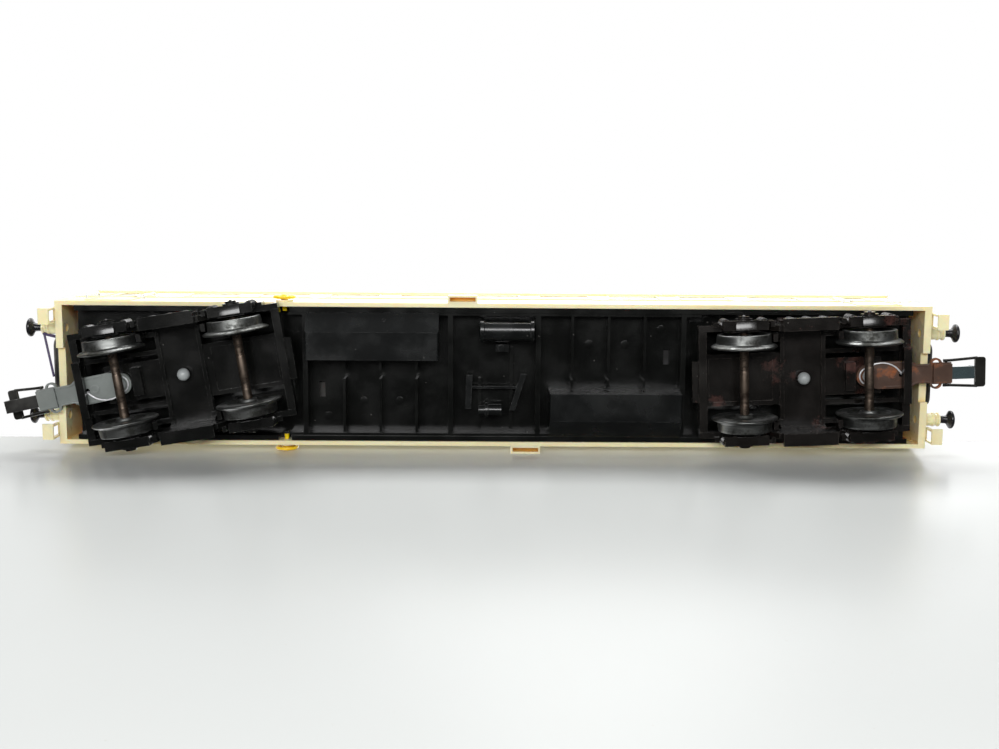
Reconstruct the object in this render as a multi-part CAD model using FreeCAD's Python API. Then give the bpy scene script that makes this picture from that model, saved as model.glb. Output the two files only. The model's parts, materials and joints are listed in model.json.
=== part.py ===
import FreeCAD, Part
import math
import os

# Four-axle model passenger coach for 16.5 mm gauge track, in millimetres.
# The coach stands on its wheels: +X along its length, +Z up, z = 0 under the wheel flanges,
# and the origin midway between the two bogie pivots.  Everything under the floor repeats
# itself when the coach is turned end for end, so most details are drawn once and turned.

# ---- driving dimensions: running gear ----
BACK_TO_BACK = 14.3
TREAD_R = 5.5
FLANGE_R = 6.8
WHEEL_WIDTH = 2.95
AXLE_R = 0.95
AXLE_TIP_Y = 12.25
AXLE_Z = FLANGE_R
BOGIE_WHEELBASE = 25.9
PIVOT_X = 64.7
BOGIE_HALF_LENGTH = 22.0
FRAME_IN_Y = 10.6
FRAME_OUT_Y = 11.8
RUNNING_GAP = 0.06

# ---- driving dimensions: body and floor ----
BODY_HALF_LENGTH = 91.5
BODY_HALF_WIDTH = 15.1
WALL = 0.9
END_WALL = 1.5
SILL_Z = 10.9
FLOOR_Z = 15.0
FLOOR_THICKNESS = 1.2
FLOOR_HALF_LENGTH = 88.1
FLOOR_HALF_WIDTH = 14.1
EAVE_Z = 38.6
ROOF_RISE = 7.4
SEAT_FLOOR_Z = 17.9

# ---- driving dimensions: buffers and couplers ----
BUFFER_Y = 9.25
BUFFER_Z = 13.5
BUFFER_FACE_X = 98.25
SLEEVE_END_X = 95.0
COUPLER_PIVOT_X = 13.4
COUPLER_LOW_Z = 9.3
COUPLER_HIGH_Z = 10.1
LOOP_PIVOT_X = 29.9
LOOP_PIVOT_Z = 9.7

# ---- rest pose of the parts that turn, in degrees about +Z (loops: about the cross axis) ----
BOGIE_YAW = {"left": -9.2, "right": -2.5}
COUPLER_YAW = {"left": -2.8, "right": 0.0}
LOOP_LIFT = {"left": 17.0, "right": 0.0}

ENDS = ("left", "right")
SIDES = (-1, 1)
Z_AXIS = FreeCAD.Vector(0, 0, 1)
ORIGIN = FreeCAD.Vector(0, 0, 0)


# ---- small helpers ----
def vec(x, y, z):
    """A FreeCAD vector."""
    return FreeCAD.Vector(x, y, z)


def block(x_span, y_span, z_span):
    """Box between the low and high value given for each axis."""
    low = vec(x_span[0], y_span[0], z_span[0])
    size = [span[1] - span[0] for span in (x_span, y_span, z_span)]
    return Part.makeBox(size[0], size[1], size[2], low)


def rod(radius, start, end):
    """Cylinder of one radius between two points."""
    first = vec(*start)
    along = vec(*end) - first
    return Part.makeCylinder(radius, along.Length, first, along)


def taper(radius_start, radius_end, start, end):
    """Cone between two points."""
    first = vec(*start)
    along = vec(*end) - first
    return Part.makeCone(radius_start, radius_end, along.Length, first, along)


def prism(points, along):
    """Solid swept from a closed polygon of 3-D points by a vector."""
    corners = [vec(*point) for point in points]
    wire = Part.makePolygon(corners + corners[:1])
    return Part.Face(wire).extrude(vec(*along))


def side_prism(outline, y_span):
    """Polygon of (x, z) points made solid between two y values."""
    points = [(x, y_span[0], z) for x, z in outline]
    return prism(points, (0, y_span[1] - y_span[0], 0))


def end_prism(outline, x_span):
    """Polygon of (y, z) points made solid between two x values."""
    points = [(x_span[0], y, z) for y, z in outline]
    return prism(points, (x_span[1] - x_span[0], 0, 0))


def flat_prism(outline, z_span):
    """Polygon of (x, y) points made solid between two z values."""
    points = [(x, y, z_span[0]) for x, y in outline]
    return prism(points, (0, 0, z_span[1] - z_span[0]))


def turned(profile, centre, axis):
    """Solid of revolution.

    profile holds (radius, distance along the axis) points, and the axis is "x", "y" or "z".
    """
    axes = {
        "x": (vec(1, 0, 0), vec(0, 0, 1)),
        "y": (vec(0, 1, 0), vec(0, 0, 1)),
        "z": (vec(0, 0, 1), vec(1, 0, 0)),
    }
    along, outward = axes[axis]
    base = vec(*centre)
    corners = [base + outward * radius + along * distance for radius, distance in profile]
    face = Part.Face(Part.makePolygon(corners + corners[:1]))
    return face.revolve(base, along, 360)


def fuse(shapes):
    """One solid from overlapping or touching shapes."""
    shapes = list(shapes)
    if len(shapes) == 1:
        return shapes[0]
    return shapes[0].multiFuse(shapes[1:]).removeSplitter()


def cut(shape, tools):
    """The shape with each of the tools taken out of it."""
    for tool in tools:
        shape = shape.cut(tool)
    return shape


def mirrored_y(shape):
    """The shape reflected to the other side of the coach."""
    return shape.mirror(ORIGIN, vec(0, 1, 0))


def both_sides(shape):
    """The shape and its reflection across the coach's centre plane."""
    return [shape, mirrored_y(shape)]


def turned_end_for_end(shape):
    """The shape turned half a turn about the coach's vertical axis."""
    other = shape.copy()
    other.rotate(ORIGIN, Z_AXIS, 180)
    return other


def both_ends(shape):
    """The shape and its copy turned end for end."""
    return [shape, turned_end_for_end(shape)]


def save(name, shapes):
    """Write one node from a list of solids that stay separate."""
    shape = Part.makeCompound(list(shapes))
    shape.exportStep(f"parts/{name}.step")


# ---- placing the running gear ----
def on_bogie(shape, end):
    """Move a shape from the bogie's own frame, outer end towards +X, to its place at rest."""
    placed = shape.copy()
    heading = BOGIE_YAW[end] + (180 if end == "left" else 0)
    placed.rotate(ORIGIN, Z_AXIS, heading)
    placed.translate(vec(-PIVOT_X if end == "left" else PIVOT_X, 0, 0))
    return placed


def on_coupler(shape, end):
    """Swing a shape with its coupler, then place it with the bogie."""
    swung = shape.copy()
    swung.rotate(vec(COUPLER_PIVOT_X, 0, 0), Z_AXIS, COUPLER_YAW[end])
    return on_bogie(swung, end)


# ---- wheelsets ----
def tip_radius(y):
    """Radius of the axle's pointed journal at a distance y from the middle."""
    start_y = BACK_TO_BACK / 2 + WHEEL_WIDTH
    start_r, end_r = 0.75, 0.1
    share = (y - start_y) / (AXLE_TIP_Y - start_y)
    return start_r + (end_r - start_r) * share


def make_axle(x):
    """Steel axle with a point at each end."""
    shoulder = BACK_TO_BACK / 2 + WHEEL_WIDTH
    half = [(AXLE_R, shoulder - 0.15), (tip_radius(shoulder), shoulder),
            (tip_radius(AXLE_TIP_Y), AXLE_TIP_Y), (0, AXLE_TIP_Y)]
    profile = [(radius, -y) for radius, y in reversed(half)] + half
    return turned(profile, (x, 0, AXLE_Z), "y")


def make_wheel(x, side):
    """Wheel with a flange at its back, a coned tread and a dished face."""
    back = BACK_TO_BACK / 2
    face = back + WHEEL_WIDTH
    profile = [(AXLE_R, back), (FLANGE_R - 0.35, back), (FLANGE_R, back + 0.25),
               (FLANGE_R, back + 0.42), (FLANGE_R - 0.5, back + 0.78),
               (TREAD_R + 0.12, back + 0.95), (TREAD_R, face - 0.15), (TREAD_R - 0.15, face),
               (TREAD_R - 0.95, face), (TREAD_R - 1.15, face - 0.55), (2.0, face - 0.75),
               (1.75, face - 0.2), (AXLE_R, face - 0.2)]
    wheel = turned(profile, (x, 0, AXLE_Z), "y")
    return wheel if side > 0 else mirrored_y(wheel)


# ---- bogie frame ----
def axle_cup(x, side):
    """The coned bearing pocket that an axle point runs in."""
    inner, outer = FRAME_IN_Y - 0.1, AXLE_TIP_Y + RUNNING_GAP
    return taper(tip_radius(inner) + RUNNING_GAP, tip_radius(AXLE_TIP_Y) + RUNNING_GAP,
                 (x, side * inner, AXLE_Z), (x, side * outer, AXLE_Z))


def axle_box():
    """Axle box, its round cap and the coil springs beside it, centred on x = 0, +Y side."""
    pieces = [
        block((-2.7, 2.7), (FRAME_IN_Y, 12.5), (4.9, 9.8)),
        rod(1.75, (0, 12.4, AXLE_Z), (0, 13.3, AXLE_Z)),
        rod(1.15, (0, 13.2, AXLE_Z), (0, 13.7, AXLE_Z)),
        block((-4.6, 4.6), (11.0, 13.0), (4.5, 5.2)),
    ]
    for x in (-3.9, 3.9):
        pieces.append(rod(0.85, (x, 12.2, 5.1), (x, 12.2, 9.6)))
    return fuse(pieces)


def bolster_springs():
    """The deep spring nest at the middle of the side frame, on the +Y side."""
    pieces = [
        block((-5.6, 5.6), (FRAME_IN_Y, 13.2), (3.3, 4.1)),
        block((-5.6, 5.6), (FRAME_IN_Y, 12.9), (8.5, 9.3)),
    ]
    for x in (-5.1, -1.7, 1.7, 5.1):
        pieces.append(block((x - 0.35, x + 0.35), (FRAME_IN_Y, 12.6), (4.0, 9.4)))
    for x in (-3.4, 0.0, 3.4):
        pieces.append(rod(0.95, (x, 12.0, 4.0), (x, 12.0, 8.6)))
    return fuse(pieces)


def side_frame():
    """One side of the bogie with axle boxes, springs and brake gear, on the +Y side."""
    half = BOGIE_WHEELBASE / 2
    outline = [(-BOGIE_HALF_LENGTH, 8.3), (-17.4, 7.7), (-15.9, 5.9), (-10.0, 5.9),
               (-8.2, 7.5), (-6.2, 4.6), (6.2, 4.6), (8.2, 7.5), (10.0, 5.9), (15.9, 5.9),
               (17.4, 7.7), (BOGIE_HALF_LENGTH, 8.3), (BOGIE_HALF_LENGTH, 10.2),
               (18.0, 10.6), (-18.0, 10.6), (-BOGIE_HALF_LENGTH, 10.2)]
    web = side_prism(outline, (FRAME_IN_Y, FRAME_OUT_Y))
    rail = block((-18.5, 18.5), (FRAME_IN_Y, 12.4), (9.5, 10.6))
    pieces = [web, rail, bolster_springs()]
    for x in (-half, half):
        box = axle_box()
        box.translate(vec(x, 0, 0))
        pieces.append(box)
    for x in (-7.3, 7.3):
        pieces.append(block((x - 0.4, x + 0.4), (11.5, 12.7), (5.2, 10.0)))
    for x in (-18.6, 18.6):
        pieces.append(block((x - 0.5, x + 0.5), (11.5, 12.5), (7.2, 10.3)))
    return fuse(pieces)


def brake_shoes():
    """Brake shoes and their hangers, one at each wheel on the side of the transom."""
    shoes = []
    gap_x = BOGIE_WHEELBASE / 2 - TREAD_R - 0.3
    for end in SIDES:
        for side in SIDES:
            x_span = sorted((end * 4.2, end * (gap_x - 0.7)))
            shoe_span = sorted((end * (gap_x - 0.9), end * gap_x))
            y_span = sorted((side * 8.7, side * 9.7))
            wide_span = sorted((side * 8.4, side * 10.0))
            shoes.append(block(x_span, y_span, (9.6, 11.0)))
            shoes.append(block(shoe_span, wide_span, (5.4, 8.2)))
            shoes.append(block(shoe_span, y_span, (8.0, 11.0)))
    return shoes


def make_bogie_frame():
    """The one-piece moulded bogie: sides, transom, end beams and coupler mounting."""
    plate_z = (10.6, 11.6)
    pieces = both_sides(side_frame())
    pieces.append(block((-4.7, 4.7), (-10.9, 10.9), (10.6, 11.8)))
    for side in SIDES:
        y_span = sorted((side * 10.2, side * 11.2))
        pieces.append(block((-4.7, 4.7), y_span, (9.2, 11.8)))
    for x in (-4.3, 4.3):
        pieces.append(block((x - 0.4, x + 0.4), (-10.2, 10.2), (10.0, 10.7)))
    pieces.append(block((-21.6, -4.6), (-5.5, 5.5), plate_z))
    pieces.append(block((-BOGIE_HALF_LENGTH, -20.4), (-11.2, 11.2), (8.4, 10.7)))
    pieces.append(block((-23.3, -21.9), (-4.3, 4.3), (9.2, 10.5)))
    pieces.append(block((4.6, 16.6), (-3.9, 3.9), plate_z))
    pieces.append(block((8.9, 10.9), (-2.95, 2.95), (COUPLER_LOW_Z, 10.7)))
    for side in SIDES:
        rail_span = sorted((side * 5.0, side * 5.9))
        post_span = sorted((side * 5.0, side * 5.9))
        beam_span = sorted((side * 5.0, side * 11.2))
        pieces.append(block((4.6, 21.8), rail_span, (10.5, 11.2)))
        pieces.append(block((20.4, BOGIE_HALF_LENGTH), post_span, (7.4, 10.7)))
        pieces.append(block((20.4, BOGIE_HALF_LENGTH), beam_span, (8.4, 10.7)))
    pieces.append(block((20.4, BOGIE_HALF_LENGTH), (-5.9, 5.9), (7.4, 8.9)))
    pieces.append(block((20.4, BOGIE_HALF_LENGTH), (-5.9, 5.9), (10.5, 11.2)))
    pieces += brake_shoes()
    frame = fuse(pieces)
    pocket = block((-19.6, -6.2), (-4.6, 4.6), (10.4, 10.8))
    holes = [rod(0.86, (0, 0, 9), (0, 0, 13)), rod(0.7, (COUPLER_PIVOT_X, 0, 9),
                                                   (COUPLER_PIVOT_X, 0, 13)), pocket]
    for x in (-BOGIE_WHEELBASE / 2, BOGIE_WHEELBASE / 2):
        holes += [axle_cup(x, side) for side in SIDES]
    return cut(frame, holes)


def make_pivot_pin(end):
    """Snap-in pin with a ball head that carries the bogie under the floor."""
    x = -PIVOT_X if end == "left" else PIVOT_X
    shank = rod(0.8, (x, 0, 9.8), (x, 0, FLOOR_Z + FLOOR_THICKNESS))
    ball = Part.makeSphere(1.3, vec(x, 0, 9.2))
    return fuse([shank, cut(ball, [block((x - 2, x + 2), (-2, 2), (10.45, 12))])])


# ---- couplers ----
def half_ring(centre, radius, thickness, z_span, side):
    """Half of a flat ring that bulges away from the coupler's centre line."""
    x, y = centre
    ring = rod(radius, (x, y, z_span[0]), (x, y, z_span[1]))
    ring = ring.cut(rod(radius - thickness, (x, y, z_span[0] - 1), (x, y, z_span[1] + 1)))
    keep = sorted((y, y + side * (radius + 1)))
    return ring.common(block((x - radius - 1, x + radius + 1), keep, z_span))


def make_shank():
    """Coupler shank: pivot eye, broad plate, narrow neck and the head that holds the hook."""
    z_span = (COUPLER_LOW_Z, COUPLER_HIGH_Z)
    outline = [(COUPLER_PIVOT_X, -2.3), (15.6, -2.85), (22.3, -2.85), (23.6, -2.0),
               (26.2, -2.0), (27.0, -2.25), (30.9, -2.25), (30.9, 2.25), (27.0, 2.25),
               (26.2, 2.0), (23.6, 2.0), (22.3, 2.85), (15.6, 2.85), (COUPLER_PIVOT_X, 2.3)]
    pieces = [flat_prism(outline, z_span)]
    pieces.append(rod(2.3, (COUPLER_PIVOT_X, 0, z_span[0]), (COUPLER_PIVOT_X, 0, z_span[1])))
    pieces.append(block((27.0, 30.9), (-2.0, 2.0), (8.7, 10.7)))
    for side in SIDES:
        pieces.append(half_ring((27.7, side * 2.0), 1.25, 0.4, (9.2, 9.9), side))
    body = fuse(pieces)
    eye = rod(0.75, (COUPLER_PIVOT_X, 0, 8), (COUPLER_PIVOT_X, 0, 12))
    spring_hole = rod(0.5, (20.4, 0, 8), (20.4, 0, 12))
    cross_bore = rod(0.36, (LOOP_PIVOT_X, -4, LOOP_PIVOT_Z), (LOOP_PIVOT_X, 4, LOOP_PIVOT_Z))
    return cut(body, [eye, spring_hole, cross_bore])


def make_hook(length):
    """Flat hook bar with an upturned tip, fixed in the coupler's head."""
    start, low = 30.9, 9.0
    bar = block((start, start + length), (-1.3, 1.3), (low, low + 0.6))
    tip = block((start + length - 0.7, start + length), (-1.3, 1.3), (low, low + 1.5))
    return fuse([bar, tip])


def make_loop(end):
    """Loop of flat metal that widens towards its cross bar and swings on two stubs."""
    z_span = (LOOP_PIVOT_Z - 0.25, LOOP_PIVOT_Z + 0.25)
    pieces = [block((36.0, 38.1), (-3.3, 3.3), z_span)]
    for side in SIDES:
        arm = [(29.3, side * 2.35), (30.4, side * 2.35), (36.2, side * 2.5),
               (36.2, side * 3.3), (30.2, side * 2.95), (29.3, side * 2.9)]
        pieces.append(flat_prism(arm, z_span))
        pieces.append(rod(0.3, (LOOP_PIVOT_X, side * 1.1, LOOP_PIVOT_Z),
                          (LOOP_PIVOT_X, side * 2.6, LOOP_PIVOT_Z)))
    loop = fuse(pieces)
    loop.rotate(vec(LOOP_PIVOT_X, 0, LOOP_PIVOT_Z), vec(0, 1, 0), -LOOP_LIFT[end])
    return loop


def make_coupler_pin():
    """Rivet that the coupler swings on, from the bogie plate down through the shank's eye."""
    x = COUPLER_PIVOT_X
    shank = rod(0.7, (x, 0, 9.15), (x, 0, 11.6))
    head = rod(1.15, (x, 0, 8.95), (x, 0, 9.2))
    return fuse([shank, head])


def make_centring_spring():
    """Centring wire: hooked in the shank's hole and bent around the coupler's pin."""
    radius, z = 0.12, 9.1
    centre = (COUPLER_PIVOT_X, 0.0)
    bend = 1.75
    angles = [math.radians(a) for a in (130, 190, 250)]
    around = [vec(centre[0] + bend * math.cos(a), bend * math.sin(a), z) for a in angles]
    first = Part.Arc(*around).toShape()
    hook = vec(20.4, -0.25, z)
    rise = vec(16.4, -2.75, z)
    second = Part.Arc(around[-1], rise, hook).toShape()
    pieces = []
    for edge in (first, second):
        start = edge.valueAt(edge.FirstParameter)
        along = edge.tangentAt(edge.FirstParameter)
        ring = Part.Wire(Part.makeCircle(radius, start, along))
        pieces.append(Part.Wire(edge).makePipeShell([ring], True, False))
    pieces.append(Part.makeSphere(radius, around[-1]))
    pieces.append(rod(radius, (20.4, -0.25, z - 0.1), (20.4, -0.25, 9.9)))
    return fuse(pieces)


# ---- body shell and roof ----
WINDOW_PITCH = 15.6
WINDOW_XS = [WINDOW_PITCH * step for step in range(-4, 5)]
WINDOW_HALF_WIDTH = 5.6
WINDOW_Z = (24.5, 33.5)
DOOR_X = 81.0
DOOR_HALF_WIDTH = 4.6
DOOR_WINDOW_HALF = 2.6
END_DOOR_HALF = 4.2
END_DOOR_Z = (16.4, 36.0)
HANDWHEEL_X = -44.1
HANDWHEEL_Z = 13.35


def section(inset, low_z):
    """Outline of the body's cross-section in y and z, with the walls moved in by inset."""
    half = BODY_HALF_WIDTH - inset
    lean = 0.5
    return [(-half, low_z), (half, low_z), (half, 33.9), (half - lean, EAVE_Z),
            (lean - half, EAVE_Z), (-half, 33.9)]


def window_openings(depth_span):
    """Tools for the side windows, between two y values given for the +Y side."""
    tools = []
    for side in SIDES:
        y_span = sorted((side * depth_span[0], side * depth_span[1]))
        for x in WINDOW_XS:
            tools.append(block((x - WINDOW_HALF_WIDTH, x + WINDOW_HALF_WIDTH), y_span, WINDOW_Z))
        for end in SIDES:
            low = end * DOOR_X - DOOR_WINDOW_HALF
            high = end * DOOR_X + DOOR_WINDOW_HALF
            tools.append(block((low, high), y_span, WINDOW_Z))
    return tools


def rounded(box_shape, radius, direction):
    """Round the edges of a box that run along one axis."""
    edges = [e for e in box_shape.Edges
             if abs(e.tangentAt(e.FirstParameter).dot(direction)) > 0.99]
    return box_shape.makeFillet(radius, edges)


def make_body_shell():
    """Sides and ends in one moulding, open below and above, with its window openings."""
    outer = end_prism(section(0, SILL_Z), (-BODY_HALF_LENGTH, BODY_HALF_LENGTH))
    inner_length = BODY_HALF_LENGTH - END_WALL
    inner = end_prism(section(WALL, SILL_Z - 1), (-inner_length, inner_length))
    top = block((-inner_length, inner_length), (-13.7, 13.7), (EAVE_Z - 3, EAVE_Z + 1))
    shell = cut(outer, [inner, top])
    across = vec(0, 1, 0)
    openings = [rounded(tool, 0.9, across) for tool in window_openings((12, 17))]
    for end in SIDES:
        x_span = sorted((end * (inner_length - 1), end * (BODY_HALF_LENGTH + 1)))
        openings.append(block(x_span, (-END_DOOR_HALF, END_DOOR_HALF), END_DOOR_Z))
        openings.append(block(x_span, (-5.2, 5.2), (SILL_Z - 1, 12.1)))
        for side in SIDES:
            start = (end * (inner_length - 1), side * BUFFER_Y, BUFFER_Z)
            openings.append(rod(0.86, start, (end * 95, side * BUFFER_Y, BUFFER_Z)))
    openings.append(rod(0.5, (HANDWHEEL_X, -17, HANDWHEEL_Z), (HANDWHEEL_X, 17, HANDWHEEL_Z)))
    shell = cut(shell, openings)
    lining = [waist_strip(side) for side in SIDES] + door_frames()
    return fuse([shell] + lining)


def waist_strip(side):
    """Thin raised strip below the windows."""
    y_span = sorted((side * (BODY_HALF_WIDTH - 0.2), side * (BODY_HALF_WIDTH + 0.15)))
    return block((-75.5, 75.5), y_span, (22.4, 22.8))


def door_frames():
    """Raised frames around the four side doors, with a grab rail on each."""
    frames = []
    for side in SIDES:
        y_span = sorted((side * (BODY_HALF_WIDTH - 0.2), side * (BODY_HALF_WIDTH + 0.15)))
        for end in SIDES:
            x = end * DOOR_X
            for edge in (-DOOR_HALF_WIDTH, DOOR_HALF_WIDTH):
                frames.append(block((x + edge - 0.2, x + edge + 0.2), y_span, (12.6, 33.4)))
            frames.append(block((x - DOOR_HALF_WIDTH, x + DOOR_HALF_WIDTH), y_span,
                                (12.5, 12.9)))
    return frames


def roof_outline(inset):
    """Roof cross-section as an arc from eave to eave, with its centre strip raised."""
    half = BODY_HALF_WIDTH - 0.5 - inset
    base = EAVE_Z
    return [vec(0, -half, base), vec(0, -half * 0.72, base + (ROOF_RISE - inset) * 0.78),
            vec(0, 0, base + ROOF_RISE - inset), vec(0, half * 0.72,
                                                     base + (ROOF_RISE - inset) * 0.78),
            vec(0, half, base)]


def roof_solid(inset, half_length):
    """Solid below the roof's curved skin, moved in by inset."""
    points = roof_outline(inset)
    curve = Part.BSplineCurve()
    curve.interpolate(points)
    top = curve.toShape()
    chord = Part.makeLine(points[-1], points[0])
    face = Part.Face(Part.Wire([top, chord]))
    solid = face.extrude(vec(2 * half_length, 0, 0))
    solid.translate(vec(-half_length, 0, 0))
    return solid


def make_roof():
    """Roof moulding with closed ends and a rim that drops inside the body."""
    outer = roof_solid(0, BODY_HALF_LENGTH)
    inner = roof_solid(WALL, BODY_HALF_LENGTH - END_WALL)
    rim_outer = block((-89.9, 89.9), (-13.6, 13.6), (EAVE_Z - 1.6, EAVE_Z + 1.6))
    rim_inner = block((-88.9, 88.9), (-12.8, 12.8), (EAVE_Z - 2, EAVE_Z + 2))
    return fuse([cut(outer, [inner]), cut(rim_outer, [rim_inner])])


def make_roof_vents():
    """Row of low ventilators along the roof's ridge, each seated on the curved skin."""
    skin = roof_solid(0, BODY_HALF_LENGTH)
    vents = []
    for x in WINDOW_XS[::2]:
        base = rod(1.6, (x, 0, EAVE_Z + ROOF_RISE - 0.35), (x, 0, EAVE_Z + ROOF_RISE + 0.4))
        cap = rod(2.1, (x, 0, EAVE_Z + ROOF_RISE + 0.3), (x, 0, EAVE_Z + ROOF_RISE + 1.0))
        vents.append(cut(fuse([base, cap]), [skin]))
    return vents


def make_glazing(side):
    """Clear strip behind one side's windows, with a raised pane in every opening."""
    inner = BODY_HALF_WIDTH - WALL
    y_span = sorted((side * (inner - 0.75), side * (inner - 0.05)))
    strip = block((-86.5, 86.5), y_span, (23.2, 33.7))
    panes = []
    pane_span = sorted((side * (inner - 0.1), side * (inner + 0.45)))
    for x in WINDOW_XS:
        low, high = x - WINDOW_HALF_WIDTH + 0.12, x + WINDOW_HALF_WIDTH - 0.12
        pane = block((low, high), pane_span, (WINDOW_Z[0] + 0.12, WINDOW_Z[1] - 0.12))
        panes.append(rounded(pane, 0.85, vec(0, 1, 0)))
    return fuse([strip] + panes)


# ---- floor and underframe ----
MINOR_RIB_XS = (16.4, 24.0, 31.6)
MAJOR_RIB_X = 39.7
MIDDLE_RIB_X = 9.2
RIB_Z = 11.7
MIDDLE_RIB_Z = 14.0


def floor_ribs():
    """Stiffening ribs under the floor on one half, to be repeated end for end."""
    ribs = []
    for x in MINOR_RIB_XS:
        ribs.append(block((x - 0.25, x + 0.25), (-12.6, -1.0), (RIB_Z, FLOOR_Z + 0.1)))
        ribs.append(block((x - 0.25, x + 0.25), (1.0, 12.6), (RIB_Z, FLOOR_Z + 0.1)))
    ribs.append(block((MIDDLE_RIB_X - 0.5, MIDDLE_RIB_X + 0.5), (-12.6, 12.6),
                      (RIB_Z - 0.3, FLOOR_Z + 0.1)))
    ribs.append(block((MAJOR_RIB_X - 0.5, MAJOR_RIB_X + 0.5), (-12.6, 12.6),
                      (RIB_Z - 0.3, FLOOR_Z + 0.1)))
    ribs.append(rod(3.6, (PIVOT_X, 0, 12.1), (PIVOT_X, 0, FLOOR_Z + 0.1)))
    return ribs


def make_floor():
    """Black floor moulding: plate, side rails, ribs and the two bogie bosses."""
    plate = block((-FLOOR_HALF_LENGTH, FLOOR_HALF_LENGTH),
                  (-FLOOR_HALF_WIDTH, FLOOR_HALF_WIDTH), (FLOOR_Z, FLOOR_Z + FLOOR_THICKNESS))
    pieces = [plate]
    for side in SIDES:
        rail = sorted((side * 12.5, side * FLOOR_HALF_WIDTH))
        edge = sorted((side * 13.1, side * FLOOR_HALF_WIDTH))
        pieces.append(block((-43.2, 43.2), rail, (SILL_Z + 0.5, FLOOR_Z + 0.1)))
        pieces.append(block((-87.6, 87.6), edge, (SILL_Z + 0.2, FLOOR_Z + 0.1)))
    for rib in floor_ribs():
        pieces += both_ends(rib)
    pieces.append(block((3.3, 3.9), (-5.6, 12.6), (MIDDLE_RIB_Z, FLOOR_Z + 0.1)))
    pieces.append(block((-3.4, -2.8), (1.0, 12.6), (MIDDLE_RIB_Z, FLOOR_Z + 0.1)))
    floor = fuse(pieces)
    notch = block((HANDWHEEL_X - 1.4, HANDWHEEL_X + 1.4), (-14.2, -12.9), (SILL_Z, 14.6))
    slot = block((36.0, 37.3), (-5.4, -2.0), (FLOOR_Z - 1, FLOOR_Z + 2))
    pin_hole = rod(0.8, (PIVOT_X, 0, 11), (PIVOT_X, 0, 17))
    tools = both_ends(slot) + both_ends(pin_hole) + both_sides(notch)
    return cut(floor, tools)


def battery_box():
    """Battery box on the +Y side of the right half, with a sloped outer face."""
    outline = [(3.4, FLOOR_Z), (3.4, 7.6), (9.2, 7.6), (13.0, 10.8), (13.0, 11.05),
               (12.45, 11.05), (12.45, FLOOR_Z)]
    box = end_prism(outline, (11.6, 39.2))
    along = vec(1, 0, 0)
    low_edges = [e for e in box.Edges if e.BoundBox.ZMax < 8.0
                 and abs(e.tangentAt(e.FirstParameter).dot(along)) < 0.1]
    return box.makeFillet(0.4, low_edges)


def make_battery_boxes():
    """The two battery boxes, the second with the first's shape turned end for end."""
    box = battery_box()
    ribs = [block((x - 0.3, x + 0.3), (2.4, 12.45), (RIB_Z - 1, FLOOR_Z + 0.1))
            for x in MINOR_RIB_XS]
    right = box.cut(fuse(ribs))
    left = turned_end_for_end(right)
    pit = rod(0.3, (-23.0, -11.6, 7), (-23.0, -11.6, 9.9))
    return left.cut(pit), right


def make_reservoir():
    """Air reservoir: a drum with a raised band at each end and two hanger straps."""
    y, z = -9.4, 10.9
    drum = turned([(0, -3.2), (1.7, -3.2), (2.4, -2.9), (2.4, -2.2), (2.1, -2.05),
                   (2.1, 7.45), (2.4, 7.6), (2.4, 8.2), (1.7, 8.5), (0, 8.5)], (0, y, z), "x")
    straps = [block((x - 0.5, x + 0.5), (y - 0.9, y + 0.9), (z + 1.0, FLOOR_Z))
              for x in (-0.4, 5.6)]
    return fuse([drum] + straps)


def make_valve():
    """Distributor valve beside the reservoir."""
    base = block((0.3, 3.0), (-6.5, -5.0), (11.2, FLOOR_Z))
    cap = rod(0.7, (1.4, -5.75, 10.6), (1.4, -5.75, 11.3))
    return fuse([base, cap])


def make_brake_cylinder():
    """Brake cylinder with its front flange, on a foot under the floor."""
    y, z = 7.6, 12.3
    barrel = turned([(0, -3.3), (0.9, -3.3), (1.1, -1.9), (1.6, -1.9), (1.6, -1.3),
                     (1.25, -1.2), (1.25, 1.5), (0.9, 1.8), (0, 1.8)], (0, y, z), "x")
    foot = block((-1.0, 1.2), (y - 0.7, y + 0.7), (z, FLOOR_Z))
    return fuse([barrel, foot])


def make_brake_levers():
    """The two brake levers and the rod that joins them."""
    z_span = (12.4, 12.9)
    pieces = [
        flat_prism([(-5.9, 0.2), (-4.6, 0.2), (-4.9, 7.4), (-6.1, 7.4)], z_span),
        flat_prism([(5.6, -0.1), (6.8, -0.1), (4.4, 7.7), (3.2, 7.7)], z_span),
        block((-5.5, 5.9), (2.6, 3.1), (12.9, 13.4)),
    ]
    for x, y in ((-5.3, 3.0), (5.2, 3.0)):
        pieces.append(rod(0.5, (x, y, 12.5), (x, y, FLOOR_Z)))
    return fuse(pieces)


def make_handwheel(side):
    """Handbrake wheel on the body side: rim, web, boss and the pin through the wall."""
    x, z = HANDWHEEL_X, HANDWHEEL_Z
    inner = BODY_HALF_WIDTH
    rim = turned([(1.75, 0.45), (2.42, 0.45), (2.42, 1.5), (1.75, 1.5)], (x, inner, z), "y")
    hub = turned([(0, -2.1), (0.5, -2.1), (0.5, 0.37), (0.8, 0.37), (0.8, 1.6), (0, 1.6)],
                 (x, inner, z), "y")
    spokes = []
    for step in range(3):
        bar = block((x - 2.0, x + 2.0), (inner + 0.7, inner + 1.2), (z - 0.25, z + 0.25))
        bar.rotate(vec(x, inner, z), vec(0, 1, 0), 60 * step)
        spokes.append(bar)
    wheel = fuse([rim, hub] + spokes)
    return wheel if side > 0 else mirrored_y(wheel)


def make_wheel_bosses():
    """Round bosses on the body sides behind the handwheels."""
    x, z, face = HANDWHEEL_X, HANDWHEEL_Z, BODY_HALF_WIDTH
    boss = rod(1.8, (x, face, z), (x, face + 0.35, z))
    boss = boss.cut(rod(0.5, (x, face - 1, z), (x, face + 1, z)))
    return both_sides(boss)


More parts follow.
